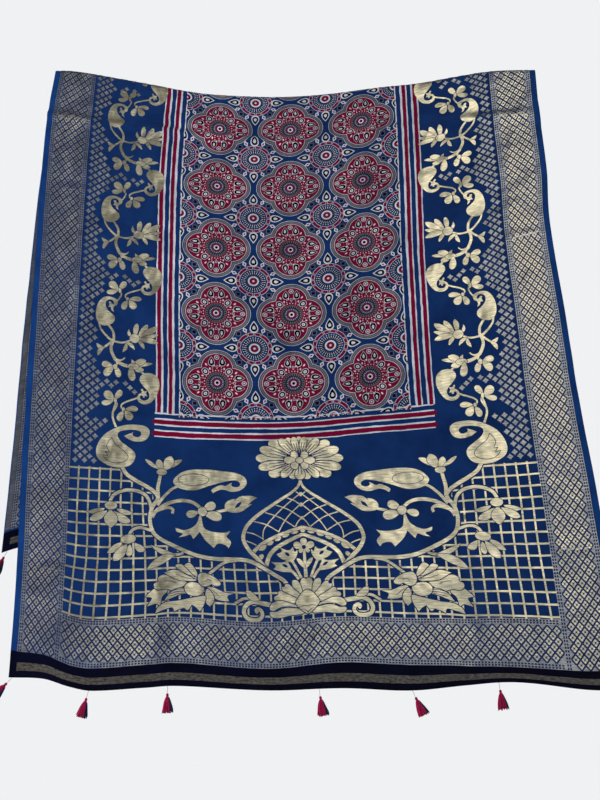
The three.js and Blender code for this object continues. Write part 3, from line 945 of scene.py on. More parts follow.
# ---- the vine: one period on the right, measured down from its inner paisley's top ----
VINE_PERIOD = 230
VINE_AT = 466
INNER_PAISLEY = (
    (286, -2), (297, -1), (305, 6), (306.5, 14), (303, 21), (296, 29), (289.5, 36), (286.5, 43),
    (287.5, 50), (292, 54), (298, 55), (303, 53), (305, 48.5), (302.5, 45), (299.5, 46), (299, 49),
    (296, 49), (294.5, 45), (290.5, 47, 1), (293, 40), (290.5, 34.5, 1), (297, 36), (301, 31, 1),
    (303.5, 34), (301, 38.5), (307, 43), (310, 50), (308.5, 56.5), (302, 61.5), (292, 62),
    (281, 56), (272, 42), (267, 24), (269.5, 9), (276.5, 1),
)
OUTER_PAISLEY = (
    (356, 83), (362, 79), (372, 77), (384, 80), (393, 90), (398, 104), (399, 118), (397, 129),
    (391, 138), (382, 141), (372, 138), (363.5, 132), (360, 124), (362, 116.5), (369, 111),
    (376, 105), (380, 97), (379.5, 89), (374, 83.5), (367, 83.5), (363, 88), (364.5, 92),
    (368, 91), (369.5, 87.5, 1), (374, 88), (372.5, 94), (375, 99.5, 1), (369.5, 99.5), (368, 105),
    (362.5, 108.5, 1), (364.5, 101.5), (362, 96), (357, 92),
)
VINE_STEMS = (  # start width, end width, points
    (3.4, 3, ((308, 50), (316, 54), (325, 58), (335, 63), (341, 69), (339, 76))),
    (3, 3, ((352, 60), (349, 68), (353, 78), (358, 85))),
    (4.5, 6.5, ((373, 137), (366, 145), (361.5, 154), (361, 167), (365, 180), (364, 192), (356, 208))),
    (3.5, 5, ((391, 136), (388, 147), (379, 158), (368, 167), (361, 170))),
    (4, 3.6, ((362, 170), (346, 171), (335, 168), (326, 163))),
    (4, 4, ((365, 171), (371, 178), (379, 185))),
    (6.5, 7, ((357, 206), (348, 213), (336, 217), (322, 218))),
    (4.5, 2, ((358, 205), (349, 208), (342, 206), (337, 201))),
    (5, 3.5, ((353, 209), (352, 216), (355, 222))),
    (4.5, 4, ((322, 218), (310, 223), (297, 232), (294, 237))),
)
VINE_LEAVES = (  # base, tip, width, bow, kind
    (333, 76, 308, 73, 11, 1, "round"), (333, 78, 320, 95, 16, 0, "round"),
    (336, 79, 345, 100, 12, -1, "round"), (336, 72, 337, 80, 6, 0, "oval"),
    (354, 59, 341, 39, 12, 0, "round"), (355, 60, 374, 45, 17, 0, "round"),
    (356, 61, 379, 69, 10.5, 1, "round"), (353, 54, 352, 66, 6, 0, "oval"),
    (318, 156, 315, 126, 10.5, 1, "petal"), (313, 156, 294, 126, 12, -1, "petal"),
    (311, 157, 274, 129, 13.5, -1, "petal"), (312, 159, 272, 146, 8.5, -1, "petal"),
    (314, 161, 272, 164, 12.5, 3, "petal"), (317, 158, 299, 179, 8, 2, "petal"),
    (323, 158, 331, 140, 6.5, 4, "leaf"), (309, 157, 329, 161, 19, 0, "oval"),
    (337, 169, 318, 183, 7.5, 3, "leaf"), (335, 170, 342, 190, 7.5, 2, "leaf"),
    (376, 185, 395, 180, 8, 4, "petal"), (377, 184, 391, 204, 8, -3, "petal"),
    (356, 220, 347, 243, 12, 1, "round"), (360, 222, 382, 220, 13, -1, "round"),
    (359, 223, 376, 243, 14.5, -1, "round"), (355, 217, 356, 228, 8.5, 0, "oval"),
    (316, 217, 282, 208, 7.5, 1, "petal"), (322, 216, 295, 202, 13, 1, "petal"),
    (322, 217, 299, 223, 12, -2, "petal"), (320, 217, 324, 203, 7, -2, "leaf"),
    (309, 216, 331, 218, 13, 0, "oval"), (325, 217, 320, 247, 14.5, -1, "round"),
)
VINE_DRIFT = np.array([  # where the right side's vine lies off from the left's: v, across, down
    (-60, 0, 0), (0, 8, 13), (110, 9, 13), (170, 3, 9), (240, 1, 4), (420, 1, 4), (560, 0, 2),
    (700, 0, 0),
], float)
LAST_OF_VINE = 100  # the lowest unit on the front ends this far down its period
VINE_GAP = 1.0  # bare cloth round a leaf where it lies over another
VINE_FIRST = -4  # the whole unit nearest the back's end
VINE_STEP = 5


def add_leaves(layers, rows, gap):
    """Leaves in gold, each with a bare gap round it."""
    for row in rows:
        layers += [(leaf(*row, gap), None), (leaf(*row), ZARI_INK)]


def add_stems(layers, rows, gap=0.0):
    """Stems in gold, each with a bare gap round it."""
    for start, end, points in rows:
        if gap:
            layers.append((stroke(points, start + 2 * gap, end + 2 * gap), None))
        layers.append((stroke(points, start, end), ZARI_INK))


def vine_layers(last=VINE_PERIOD):
    """One period of the vine, without what starts lower than last."""
    layers = []
    add_stems(layers, [row for row in VINE_STEMS if row[2][0][1] < last])
    layers.append((smooth(INNER_PAISLEY), ZARI_INK))
    if last == VINE_PERIOD:
        layers.append((smooth(OUTER_PAISLEY), ZARI_INK))
    add_leaves(layers, [row for row in VINE_LEAVES if row[1] < last], VINE_GAP)
    return layers


def turned_back(drawing):
    """The same drawing on the back's end, upside down to the front's."""
    return moved(flipped(drawing, (1, -1)), BACK_TURN)


def vines():
    """The vine down both sides, as drawings."""
    whole, part = paint(vine_layers(), VINE_STEP), paint(vine_layers(LAST_OF_VINE), VINE_STEP)
    made = [moved(whole, VINE_AT + k * VINE_PERIOD) for k in range(VINE_FIRST, 1)]
    last = moved(part, VINE_AT + VINE_PERIOD)
    made += [last, turned_back(last)]
    left = [flipped(drawing, (-1, 1)) for drawing in made]
    right = []
    for points, faces, inks in made:
        drift = [np.interp(points[:, 1], VINE_DRIFT[:, 0], VINE_DRIFT[:, k]) for k in (1, 2)]
        right.append((points + np.stack(drift, 1), faces, inks))
    return left + right


# ---- the trellis of notched squares between the vine and the side bands ----
TRELLIS_ACROSS, TRELLIS_DOWN = 18.4, 15.6
TRELLIS_END = 884
NOTCHED = (
    (0, -5.9), (2.7, -2.6), (6.2, 0), (2.7, 2.6), (0, 5.9), (-2.7, 2.6), (-6.2, 0), (-2.7, -2.6),
)
TRELLIS_EDGE = np.array([  # down a period, innermost u
    (-20, 392), (0, 378), (8, 356), (14, 330), (24, 314), (38, 312), (46, 318), (52, 362), (70, 388),
    (84, 398), (100, 406), (140, 408), (160, 396), (178, 402), (200, 396), (210, 378), (230, 378),
], float)
NOTCHED_FAN = ((1, 3, 5), (1, 5, 7), (0, 1, 7), (1, 2, 3), (3, 4, 5), (5, 6, 7))
TRELLIS_COLUMNS, TRELLIS_INSET = 7, (10, 8)
TRELLIS_CLEAR = 8.5  # from a square's middle to the drawings
TRELLIS_SPILL = 4  # how far inside the trellis's edge a square's middle may lie
TRELLIS_BY_END = ((50, 388), (math.inf, 374))  # up to how far from its end, innermost u


def trellis_edge(v):
    """The innermost u of the trellis at one v."""
    last = VINE_AT + VINE_PERIOD + LAST_OF_VINE
    if BACK_TURN - last <= v <= last:
        return np.interp((v - VINE_AT) % VINE_PERIOD, TRELLIS_EDGE[:, 0], TRELLIS_EDGE[:, 1])
    from_end = TRELLIS_END - (v if v > 0 else BACK_TURN - v)
    return next(inner for reach, inner in TRELLIS_BY_END if from_end < reach)


def trellis(drawings):
    """The notched squares on both sides that are clear of the drawings."""
    inked = np.concatenate([used_only(points, faces)[0] for points, faces, _ in drawings])
    far, near = TRELLIS_INSET
    places = lattice(
        BAND_INNER - far - TRELLIS_COLUMNS * TRELLIS_ACROSS, BAND_INNER - near,
        BACK_TURN - TRELLIS_END, TRELLIS_END, TRELLIS_ACROSS, TRELLIS_DOWN,
    )
    inked = inked[inked[:, 0] > places[:, 0].min() - TRELLIS_CLEAR]
    kept = []
    for u, v in places:
        close = inked[np.abs(inked[:, 1] - v) < TRELLIS_CLEAR]
        clear = len(close) == 0 or np.hypot(*(close - (u, v)).T).min() > TRELLIS_CLEAR
        if clear and u > trellis_edge(v) - TRELLIS_SPILL:
            kept.append((u, v))
    points, fan = shapes_at(kept, NOTCHED, NOTCHED_FAN)
    return of_ink([(points * (side, 1), fan) for side in (-1, 1)], ZARI_DULL)


# ---- the flowers of the woven end, its right half; the left half is the same, mirrored ----
GRID_PITCH_ACROSS, GRID_PITCH_DOWN = 20.4, 20.1
GRID_LINE = 3.3
GRID_FIRST, GRID_COUNTS = (9.7, 889.5), (21, 14)  # across and down
GRID_BEND = 5  # how far the outermost column strays outwards, and the lower rows up at the middle
GRID_COLUMN = (  # v, sway, share of the bend
    (887, 0, 0), (960, 0.4, 0), (1010, -0.3, 0), (1060, 0.6, 0), (1110, 0, 0.6),
    (END_BAND_TOP + 1, 0, 1),
)
GRID_ROW = (  # u, sway, share of the bend
    (-1, 0, 1), (120, 0.5, 1), (220, 0, 0.6), (320, 0, 0), (BAND_INNER + 1, 1, 0),
)
GRID_LEVEL_ROW = 6  # the last row that doesn't bend
GRID_STEP, FIELD_STEP = 14, 20
GRID_FIELD = (  # the plain field above the grid, cut out of it
    (-2, 880), (345, 880), (336, 890), (326, 902), (308, 913), (290, 921), (277, 931), (275, 940),
    (285, 950), (287, 975), (286, 996), (277, 1012), (262, 1022), (240, 1032), (215, 1042),
    (190, 1049), (150, 1053), (118, 1053), (96, 1059), (76, 1070), (56, 1082), (49, 1090),
    (49, 1112), (40, 1135), (10, 1143), (-2, 1143),
)
MAIN_STEMS = (  # start width, end width, points
    (4.5, 8, ((0, 901), (5, 913), (18, 925), (38, 938), (58, 951), (78, 964), (95, 978),
              (105.5, 990), (111.5, 1006), (110, 1018), (102, 1032), (91, 1044), (80, 1057), (70, 1067))),
    (7, 7, ((38, 1091), (44, 1084), (60, 1074), (80, 1062), (98, 1052), (116, 1048), (140, 1048),
            (170, 1048), (195, 1045), (215, 1039), (240, 1028), (262, 1017), (275, 1007), (281, 995),
            (283, 980), (281, 965), (276, 953), (269, 944), (266, 935))),
    (7, 7, ((266, 936), (275, 926), (290, 917), (310, 907), (327, 896), (336, 882))),
    (3, 4.5, ((352, 761), (356, 776), (357, 790), (350, 808))),
    (6, 7, ((262, 893), (264, 904), (267, 920), (266, 938))),
    (4.5, 6, ((230, 915), (242, 922), (256, 936), (268, 952))),
    (6, 7, ((187, 956), (198, 947), (213, 942.5), (230, 943), (250, 949), (270, 962))),
    (7, 5, ((279, 975), (272, 964), (258, 958), (246, 956), (239, 960), (241, 967))),
    (6, 6, ((280, 958), (284, 942), (293, 932), (306, 927), (322, 926), (338, 930), (350, 937), (356, 948))),
    (5, 5, ((279, 1001), (291, 997), (303, 995), (315, 999), (322, 1008))),
    (4, 5, ((224, 1040), (232, 1043), (242, 1044))),
    (4.5, 5, ((128, 1050), (147, 1053), (162, 1062), (176, 1073), (188, 1083))),
    (5, 5, ((137, 957), (150, 960), (166, 964))),
    (8, 6, ((68, 1127), (90, 1123), (104, 1121), (116, 1127), (121, 1138), (117, 1148), (107, 1152),
            (94, 1151), (88, 1144), (90, 1136), (96, 1133), (99, 1136), (96, 1140))),
    (4.5, 5, ((104, 1116), (120, 1116), (136, 1125))),
)
NET_STEMS = (  # the pointed arch's net, each line as wide
    ((-2, 924), (18, 940), (38, 957), (60, 978), (73, 994), (76, 1012)),
    ((-2, 944), (20, 964), (34, 980), (45, 997)),
    ((-2, 970), (8, 980), (14, 991)),
    ((12, 920), (2, 928), (-2, 931)), ((27, 934), (12, 940), (-2, 951)),
    ((50, 947), (24, 957), (-2, 975)), ((71, 961), (42, 971), (12, 991)),
    ((92, 978), (68, 984), (44, 998)), ((108, 998), (92, 1001), (74, 1011)),
    ((108, 1014), (98, 1017), (88, 1022)),
)
NET_STEM_WIDTH = 2.1
ARCH_STEMS = (
    (6, 6.5, ((0, 990), (22, 996), (43, 1003), (60, 1010), (79, 1020), (96, 1034))),
    (6, 8, ((0, 1003), (18, 1010), (36, 1018), (54, 1028), (67, 1041), (75, 1060))),
)
POSY_STEMS = (
    (4.5, 7.5, ((0, 1030), (0, 1055), (0, 1082))), (5, 4.5, ((25, 1050), (18, 1063), (9, 1082))),
    (5, 5, ((29, 1067), (22, 1073), (14, 1084))),
)
POSY_LEAVES = (  # base, tip, width, bow, kind
    (5, 996.5, -5, 996.5, 6, 0, "leaf"), (8, 998, 22, 1001, 5, 0, "leaf"), (25, 1002, 39, 1007, 6, 0, "leaf"),
    (41, 1008, 54, 1013.5, 6.5, 0, "leaf"), (56, 1015, 69, 1021, 7, 0, "leaf"),
    (70, 1021, 85, 1031, 9, 0, "leaf"), (78, 1038, 87, 1047, 8, 0, "oval"),
    (0, 1026, 0, 1010, 13, 0, "round"), (1, 1028, 19, 1020, 13, 0, "round"),
    (1, 1029, 10, 1036, 8, 0, "round"), (0, 1067, 15, 1047, 8, -1, "petal"),
)
POSY_TULIP = (
    (25, 1053), (17, 1046), (13, 1037), (13, 1031, 1), (18, 1035), (21, 1026, 1), (27, 1031), (34, 1031),
    (46, 1025, 1), (42, 1033), (53, 1038, 1), (46, 1045), (36, 1050),
)
POSY_BUD = (
    (27, 1070), (28, 1061), (31, 1056), (32, 1049, 1), (40, 1052.5), (50, 1053), (65, 1051, 1), (56, 1059),
    (61, 1064, 1), (50, 1068), (38, 1070),
)
POSY_EYES = (  # bare leaf-shaped spots: base, tip, width, bow, kind
    (-4, 1027, 4, 1027, 8, 0, "oval"), (28, 1042, 37, 1035, 6, 0, "leaf"),
    (33, 1062, 44, 1056, 5.5, 0, "leaf"),
)
BUD_EYE = (110, 942, 123, 954, 6, 0)
DAISY_AT = (0, 861)
DAISY_ROOT = 0.3  # where its petals start, as a share of their reach
DAISY_VEINS = ((0.34, 0.52, 0.74), 0.27)  # shares of a petal's reach, and of its width to a side
DAISY_VEIN_WIDTH = (1.9, 1.1)
DAISY_HEART = ((5, 4), (29, 18), 14)  # its inner petals: how far out they start and end, width
DAISY_HEART_TURNS = range(30, 390, 60)
DAISY_EYE = ((7.4, 18, None), (6.0, 18, ZARI_INK))
DAISY_PETALS = (  # turn in degrees from down the cloth, reach, width
    (0, 38, 19), (24, 40, 17), (47, 48, 15), (63, 65, 21), (79, 79, 18), (93, 82.5, 19), (107, 78, 19),
    (123, 68, 21), (139, 56, 15), (153, 50, 14), (167, 47.5, 13), (180, 47.5, 13),
)
HORIZONTAL_PAISLEY = (
    (100, 906), (104, 895), (120, 887), (144, 884), (172, 881.5), (200, 882), (220, 887), (233, 897),
    (238, 907), (231, 916), (222, 920), (208, 922.5), (192, 921), (170, 913), (148, 906), (128, 901.5),
    (118, 902), (112.5, 907), (113.5, 912), (120, 914.5), (127, 913), (129, 909), (127, 906, 1),
    (134, 909), (140, 912.5), (148, 911), (158, 915), (166, 921), (163, 927, 1), (154, 921.5),
    (144, 919.5), (130, 923), (117, 922), (106, 916),
)
TOP_PAISLEY = (
    (286, 808), (294, 802), (306, 800.5), (324, 801), (340, 805), (356, 813), (370, 823), (380, 836),
    (385.5, 850), (386, 862), (381, 872), (370, 879), (358, 884), (342, 885.5), (332, 884),
    (320, 879), (313, 870), (311, 860), (315, 852), (326, 844), (338, 836), (345, 828), (346, 820),
    (340, 815), (328, 811.5), (314, 810.5), (304, 812.5), (301, 818), (304, 823), (310, 824.5),
    (317, 821.5), (318, 818), (316, 815.5, 1), (326, 819.5), (334, 824, 1), (324, 830), (312, 833),
    (299, 832), (289, 826), (285, 816),
)
PAISLEY_EYE = (170, 901, 229, 902, 24, 0, "oval")
TOP_PAISLEY_EYE = (
    (357, 828, 1), (349, 841), (332, 853), (324, 864), (330, 873), (345, 877.5), (360, 876), (371, 868),
    (374, 862, 1), (364, 865, 1), (370, 856, 1), (362, 857, 1), (367, 846), (364, 837),
)
BUD = (
    (81, 934, 1), (94, 930.5), (112, 932), (120, 937), (125, 943, 1), (122, 937, 1), (130, 938), (139, 944),
    (142, 952), (139, 959), (128, 962), (114, 961), (102, 954), (91, 946, 1), (99, 948, 1), (90, 940),
)
FALLING_LEAF = (
    (187, 968), (184, 990), (176, 997), (160, 1000), (146, 1000), (135, 997, 1), (142, 1007), (137, 1013),
    (135, 1019), (140, 1028, 1), (147, 1022), (160, 1021), (167, 1029, 1), (175, 1022), (183, 1014),
    (189, 1004), (191, 1000, 1), (197, 1007), (204, 1014, 1), (209, 1006), (218, 1009), (231, 1012, 1),
    (223, 1005), (234, 1001), (236, 994, 1), (222, 998), (210, 995), (200, 989), (194, 981), (190, 970),
)
END_LEAVES = (  # base, tip, width, bow, kind
    (252, 885, 222, 864, 10, 2, "petal"), (256, 886, 242, 858, 19, -1, "petal"),
    (257, 885, 268, 865, 14, 2, "petal"), (263, 884, 292, 866, 7.5, 1, "petal"),
    (250, 889, 270, 889, 12, 0, "oval"),
    (182, 958, 159, 947, 16, 0, "round"), (181, 966, 149, 972, 18, 0, "round"),
    (191, 963, 214, 970, 14, 0, "round"), (175.5, 962, 192.5, 962, 17, 0, "oval"),
    (344, 962, 313, 969, 9, -2, "leaf"), (349, 966, 319, 985, 14.5, -3, "petal"),
    (366, 962, 398, 970, 9.5, 2, "leaf"), (361, 966, 393, 984, 13.5, 1, "petal"),
    (354, 965, 355, 996, 25, 0, "leaf"), (343, 956, 366, 956, 15, 0, "oval"),
    (313, 1022, 295, 1036, 13, -3, "petal"), (321, 1025, 324, 1047, 12, 0, "petal"),
    (335, 1022, 361, 1041, 11, 1, "leaf"), (326, 1024, 350, 1054, 16, 1, "petal"),
    (310, 1013, 337, 1018, 16, 0, "oval"),
    (238, 1044, 284, 1026, 9, 4, "leaf"), (240, 1044, 294, 1071, 14, -3, "leaf"),
    (92, 1118, 115, 1102, 13, 3, "petal"),
)
SIDE_LOTUS = (  # the big flower at the side: outlines in the order they overlap
    ((180, 1099), (170, 1101), (155, 1107), (138, 1108, 1), (150, 1113), (147, 1122, 1), (160, 1122),
     (172, 1119), (181, 1110), (185, 1101)),
    ((184, 1103), (175, 1114), (175, 1125), (182, 1134, 1), (189, 1127), (190, 1115), (188, 1106)),
    ((190, 1116), (192, 1130), (200, 1144, 1), (207, 1137), (214, 1133, 1), (222, 1143), (228, 1139, 1),
     (240, 1143), (246, 1147, 1), (250, 1139), (266, 1143), (276, 1146), (281, 1148, 1), (276, 1138),
     (262, 1130), (240, 1127), (215, 1121), (203, 1118)),
    ((262, 1103), (280, 1104), (290, 1111), (298, 1119, 1), (287, 1121), (291, 1129), (296, 1136, 1),
     (280, 1131), (272, 1134), (268, 1120), (258, 1110)),
    ((222, 1094), (240, 1088), (256, 1082), (266, 1081), (274, 1086), (274, 1092), (282, 1096),
     (282, 1103), (275, 1107), (262, 1106), (246, 1109), (234, 1104)),
    ((204, 1089), (218, 1091), (240, 1089), (262, 1077, 1), (244, 1072), (225, 1076), (212, 1081)),
    ((203, 1086), (216, 1081), (232, 1073), (240, 1064), (230, 1061), (219, 1070), (209, 1078)),
    ((201, 1083), (211, 1077), (220, 1067), (224, 1063), (215, 1058), (208, 1064), (203, 1072)),
    ((222, 1112), (236, 1116), (250, 1122), (264, 1127, 1), (254, 1114), (240, 1106), (226, 1105)),
    ((192, 1100), (200, 1095), (213, 1093), (224, 1098), (227, 1107), (222, 1114), (212, 1117),
     (200, 1115), (193, 1108)),
    ((161, 1090), (168, 1083), (180, 1077), (193, 1075), (200, 1081), (200, 1092), (193, 1099),
     (182, 1097), (177, 1094), (170, 1097), (162, 1095)),
)
SIDE_LOTUS_VEINS = (
    ((226, 1106), (240, 1107), (252, 1111)), ((227, 1110), (240, 1111), (254, 1115)),
    ((227, 1113), (240, 1115), (252, 1119)), ((206, 1083), (220, 1079), (234, 1070)),
    ((207, 1087), (224, 1085), (240, 1080)), ((178, 1104), (170, 1110), (163, 1116)),
    ((176, 1089), (183, 1086), (188, 1090)), ((240, 1096), (252, 1092), (262, 1092)),
)
END_LOTUS = (
    ((-3, 1108), (-2, 1090), (3, 1083), (9, 1084), (12, 1090), (15, 1094), (14, 1104), (8, 1110)),
    ((10, 1108), (12, 1095), (17, 1087), (25, 1085), (28, 1090), (25, 1100), (15, 1112)),
    ((12, 1114), (26, 1100), (34, 1092), (41, 1091), (43, 1096), (48, 1096), (46, 1104), (32, 1113),
     (18, 1121)),
    ((18, 1120), (38, 1109), (50, 1103), (56, 1104), (57, 1109), (64, 1112), (64, 1118), (50, 1120),
     (32, 1125), (20, 1125)),
    ((12, 1134), (32, 1126), (50, 1120), (64, 1121), (73, 1127), (74, 1134), (66, 1136), (54, 1131),
     (38, 1130)),
    ((8, 1139), (28, 1134), (46, 1133), (60, 1138), (74, 1139), (71, 1147), (56, 1149), (34, 1146),
     (10, 1145)),
    ((-2, 1105), (8, 1107), (17, 1116), (23, 1126), (15, 1136), (6, 1143), (-2, 1145)),
)
END_LOTUS_VEINS = (((-1, 1133), (8, 1131), (17, 1134)), ((-1, 1144), (6, 1138), (13, 1137)))
END_LEAN = np.array([  # how far the end's middle lies to the right: v, by how much
    (903, 0.4), (945, 0.6), (1010, 2.7), (1040, 4), (1080, 5.5), (1110, 7), (1160, 7.5),
], float)
LEAN_REACH = 75  # further right nothing leans, and further left all leans twice as far
LEAN_FADE = (420, 120)  # how far to the left the lean ends, and over what width it fades out
# bare cloth round what lies over something else: petals of the lotuses and of the daisy, the arch,
# the posy, leaves, the pointed outline, stems over the grid, and the paisleys' eyes
LOTUS_GAP, DAISY_GAP, ARCH_GAP, POSY_GAP = 1.6, 1.5, 1.5, 0.7
LEAF_GAP, OGEE_GAP, GRID_GAP, EYE_GAP = 1.2, 1.2, 2.2, 1.2
VEIN = (1.2, 0.9)
END_STEP = 7


def grid_layers():
    """The grid of the woven end, with the plain field above it cut out."""
    lines = []
    for k in range(GRID_COUNTS[0]):
        u = GRID_FIRST[0] + GRID_PITCH_ACROSS * k
        bend = GRID_BEND * k / (GRID_COUNTS[0] - 1)
        lines.append([(u + sway + share * bend, v) for v, sway, share in GRID_COLUMN])
    for k in range(GRID_COUNTS[1]):
        v = GRID_FIRST[1] + GRID_PITCH_DOWN * k
        bend = GRID_BEND if k > GRID_LEVEL_ROW else 0
        lines.append([(u, v + sway - share * bend) for u, sway, share in GRID_ROW])
    layers = [(stroke(line, GRID_LINE, None, GRID_STEP), ZARI_INK) for line in lines]
    field = [(*corner, 1) for corner in GRID_FIELD]
    return layers + [(smooth(field, FIELD_STEP), None)]


def daisy_layers():
    """The flower over the end's middle: every other petal lies over its neighbours."""
    layers = []
    x, y = DAISY_AT
    mirrored = tuple((-turn, reach, width) for turn, reach, width in DAISY_PETALS[-2:0:-1])
    petals = DAISY_PETALS + mirrored

    def out_at(angle, across, down):
        return x + math.sin(angle) * across, y + math.cos(angle) * down

    shares, aside = DAISY_VEINS
    for turn, reach, width in petals[1::2] + petals[::2]:
        angle = math.radians(turn)
        base, tip = [out_at(angle, reach * share, reach * share) for share in (DAISY_ROOT, 1)]
        add_leaves(layers, [(*base, *tip, width, 0, "round")], DAISY_GAP)
        for side in (-aside, aside):
            vein = angle + side * width / reach
            line = [out_at(vein, reach * share, reach * share) for share in shares]
            layers.append((stroke(line, *DAISY_VEIN_WIDTH), None))
    root, reach, width = DAISY_HEART
    for turn in DAISY_HEART_TURNS:
        base, tip = [out_at(math.radians(turn), *by) for by in (root, reach)]
        add_leaves(layers, [(*base, *tip, width, 0, "round")], DAISY_GAP)
    return layers + discs(x, y, DAISY_EYE, 1.1)


def end_layers():
    """The right half of the woven end, from the bottom layer up."""
    layers = grid_layers()
    layers += [(stroke(points, NET_STEM_WIDTH), ZARI_INK) for points in NET_STEMS]
    add_stems(layers, ARCH_STEMS, ARCH_GAP)
    add_stems(layers, POSY_STEMS)
    add_leaves(layers, POSY_LEAVES, POSY_GAP)
    layers += [(smooth(points), ZARI_INK) for points in (POSY_TULIP, POSY_BUD)]
    layers += [(leaf(*row), None) for row in POSY_EYES]
    add_stems(layers, MAIN_STEMS[:1], OGEE_GAP)
    for start, end, points in MAIN_STEMS[1:]:
        layers.append((stroke(points, start + 2 * GRID_GAP, end + 2 * GRID_GAP), None))
    add_stems(layers, MAIN_STEMS[1:])
    layers += [(smooth(points), ZARI_INK) for points in (HORIZONTAL_PAISLEY, FALLING_LEAF, BUD)]
    layers += [(leaf(*BUD_EYE), None), (smooth(TOP_PAISLEY), ZARI_INK)]
    for eye in (smooth(TOP_PAISLEY_EYE), leaf(*PAISLEY_EYE)):
        layers += [(eye, None), (grown(eye, -EYE_GAP), ZARI_INK)]
    add_leaves(layers, END_LEAVES, LEAF_GAP)
    for petals, veins in ((SIDE_LOTUS, SIDE_LOTUS_VEINS), (END_LOTUS, END_LOTUS_VEINS)):
        for petal in map(smooth, petals):
            layers += [(grown(petal, LOTUS_GAP), None), (petal, ZARI_INK)]
        layers += [(stroke(points, *VEIN), None) for points in veins]
    return layers


def leaned(points):
    """Moves the end's middle off to the right by END_LEAN, and its left half twice as far."""
    u, v = points.T
    by = np.interp(v, END_LEAN[:, 0], END_LEAN[:, 1])
    share = np.clip(u / LEAN_REACH, -1, 1)
    fade = np.clip((LEAN_FADE[0] + u) / LEAN_FADE[1], 0, 1)
    return np.stack([u + by * (1 - share) * fade, v], 1)


def woven_end():
    """Both woven ends, without their bands."""
    both = []
    for polygon, ink in end_layers():
        both += [(polygon * (-1, 1), ink), (polygon, ink)]
    points, faces, inks = joined([paint(both, END_STEP), paint(daisy_layers(), END_STEP)])
    front = (leaned(points), faces, inks)
    return joined([front, turned_back(front)])


# ---- the plain strips ----
STRIP_INSET = (14, 3)  # from the left edge and from the right one
EDGE_INSET = 0.6
FLOATS_INSET = 2.5


def hem_strips():
    """The bare paler strips in both hems."""
    across = (STRIP_INSET[0] - HALF, HALF - STRIP_INSET[1])
    back = (FRONT_LENGTH - STRIP_LOW - BACK_LENGTH, FRONT_LENGTH - STRIP_TOP - BACK_LENGTH)
    strips = [sheet_patch(*across, *rows) for rows in ((STRIP_TOP, STRIP_LOW), back)]
    return of_ink(strips, ZARI_DULL)


def selvedges(inset):
    """The plain strips outside the bands, up to this far from the cloth's edge."""
    rows = (HEM_BAND - BACK_LENGTH, FRONT_LENGTH - HEM_BAND)
    edges = [sorted((side * (BAND_OUTER + 1), side * (HALF - inset))) for side in (-1, 1)]
    return of_ink([sheet_patch(*edge, *rows) for edge in edges], ZARI_DULL)


CRIMSON = cloth_material("crimson_print", (108, 7, 42), (88, 4, 34), 0.8)
CREAM = cloth_material("cream_print", (198, 196, 198), (150, 151, 160), 0.8)
CRIMSON_BACK = cloth_material("crimson_reverse", (96, 24, 58), (72, 20, 52), 0.8)
CREAM_BACK = cloth_material("cream_reverse", (120, 128, 146), (84, 96, 122), 0.8)
BLACK = cloth_material("black_print", (10, 10, 14), (5, 5, 9), 0.8)
GREY = cloth_material("grey_print", (98, 95, 102), (68, 66, 74), 0.8)
ZARI = cloth_material("zari_gold", (238, 226, 188), (156, 148, 124), 0.33, metal=0.9, streak=1, grain=42)
ZARI_DARK = cloth_material("zari_dull", (178, 176, 168), (92, 97, 106), 0.4, metal=0.85, streak=1, grain=42)
FLOATS = cloth_material("zari_floats", (128, 126, 124), (66, 74, 88), 0.42, metal=0.85, streak=1, grain=42)
SELVEDGE = cloth_material("selvedge_weave", (17, 54, 106), (11, 42, 90), 0.8)
BLUE_MARK = cloth_material("blue_mark", (16, 40, 88), (10, 28, 68), 0.7)
STRIP = cloth_material("strip_weave", (92, 85, 76), (4, 4, 12), 0.6, metal=0.3, streak=0.1, grain=130)


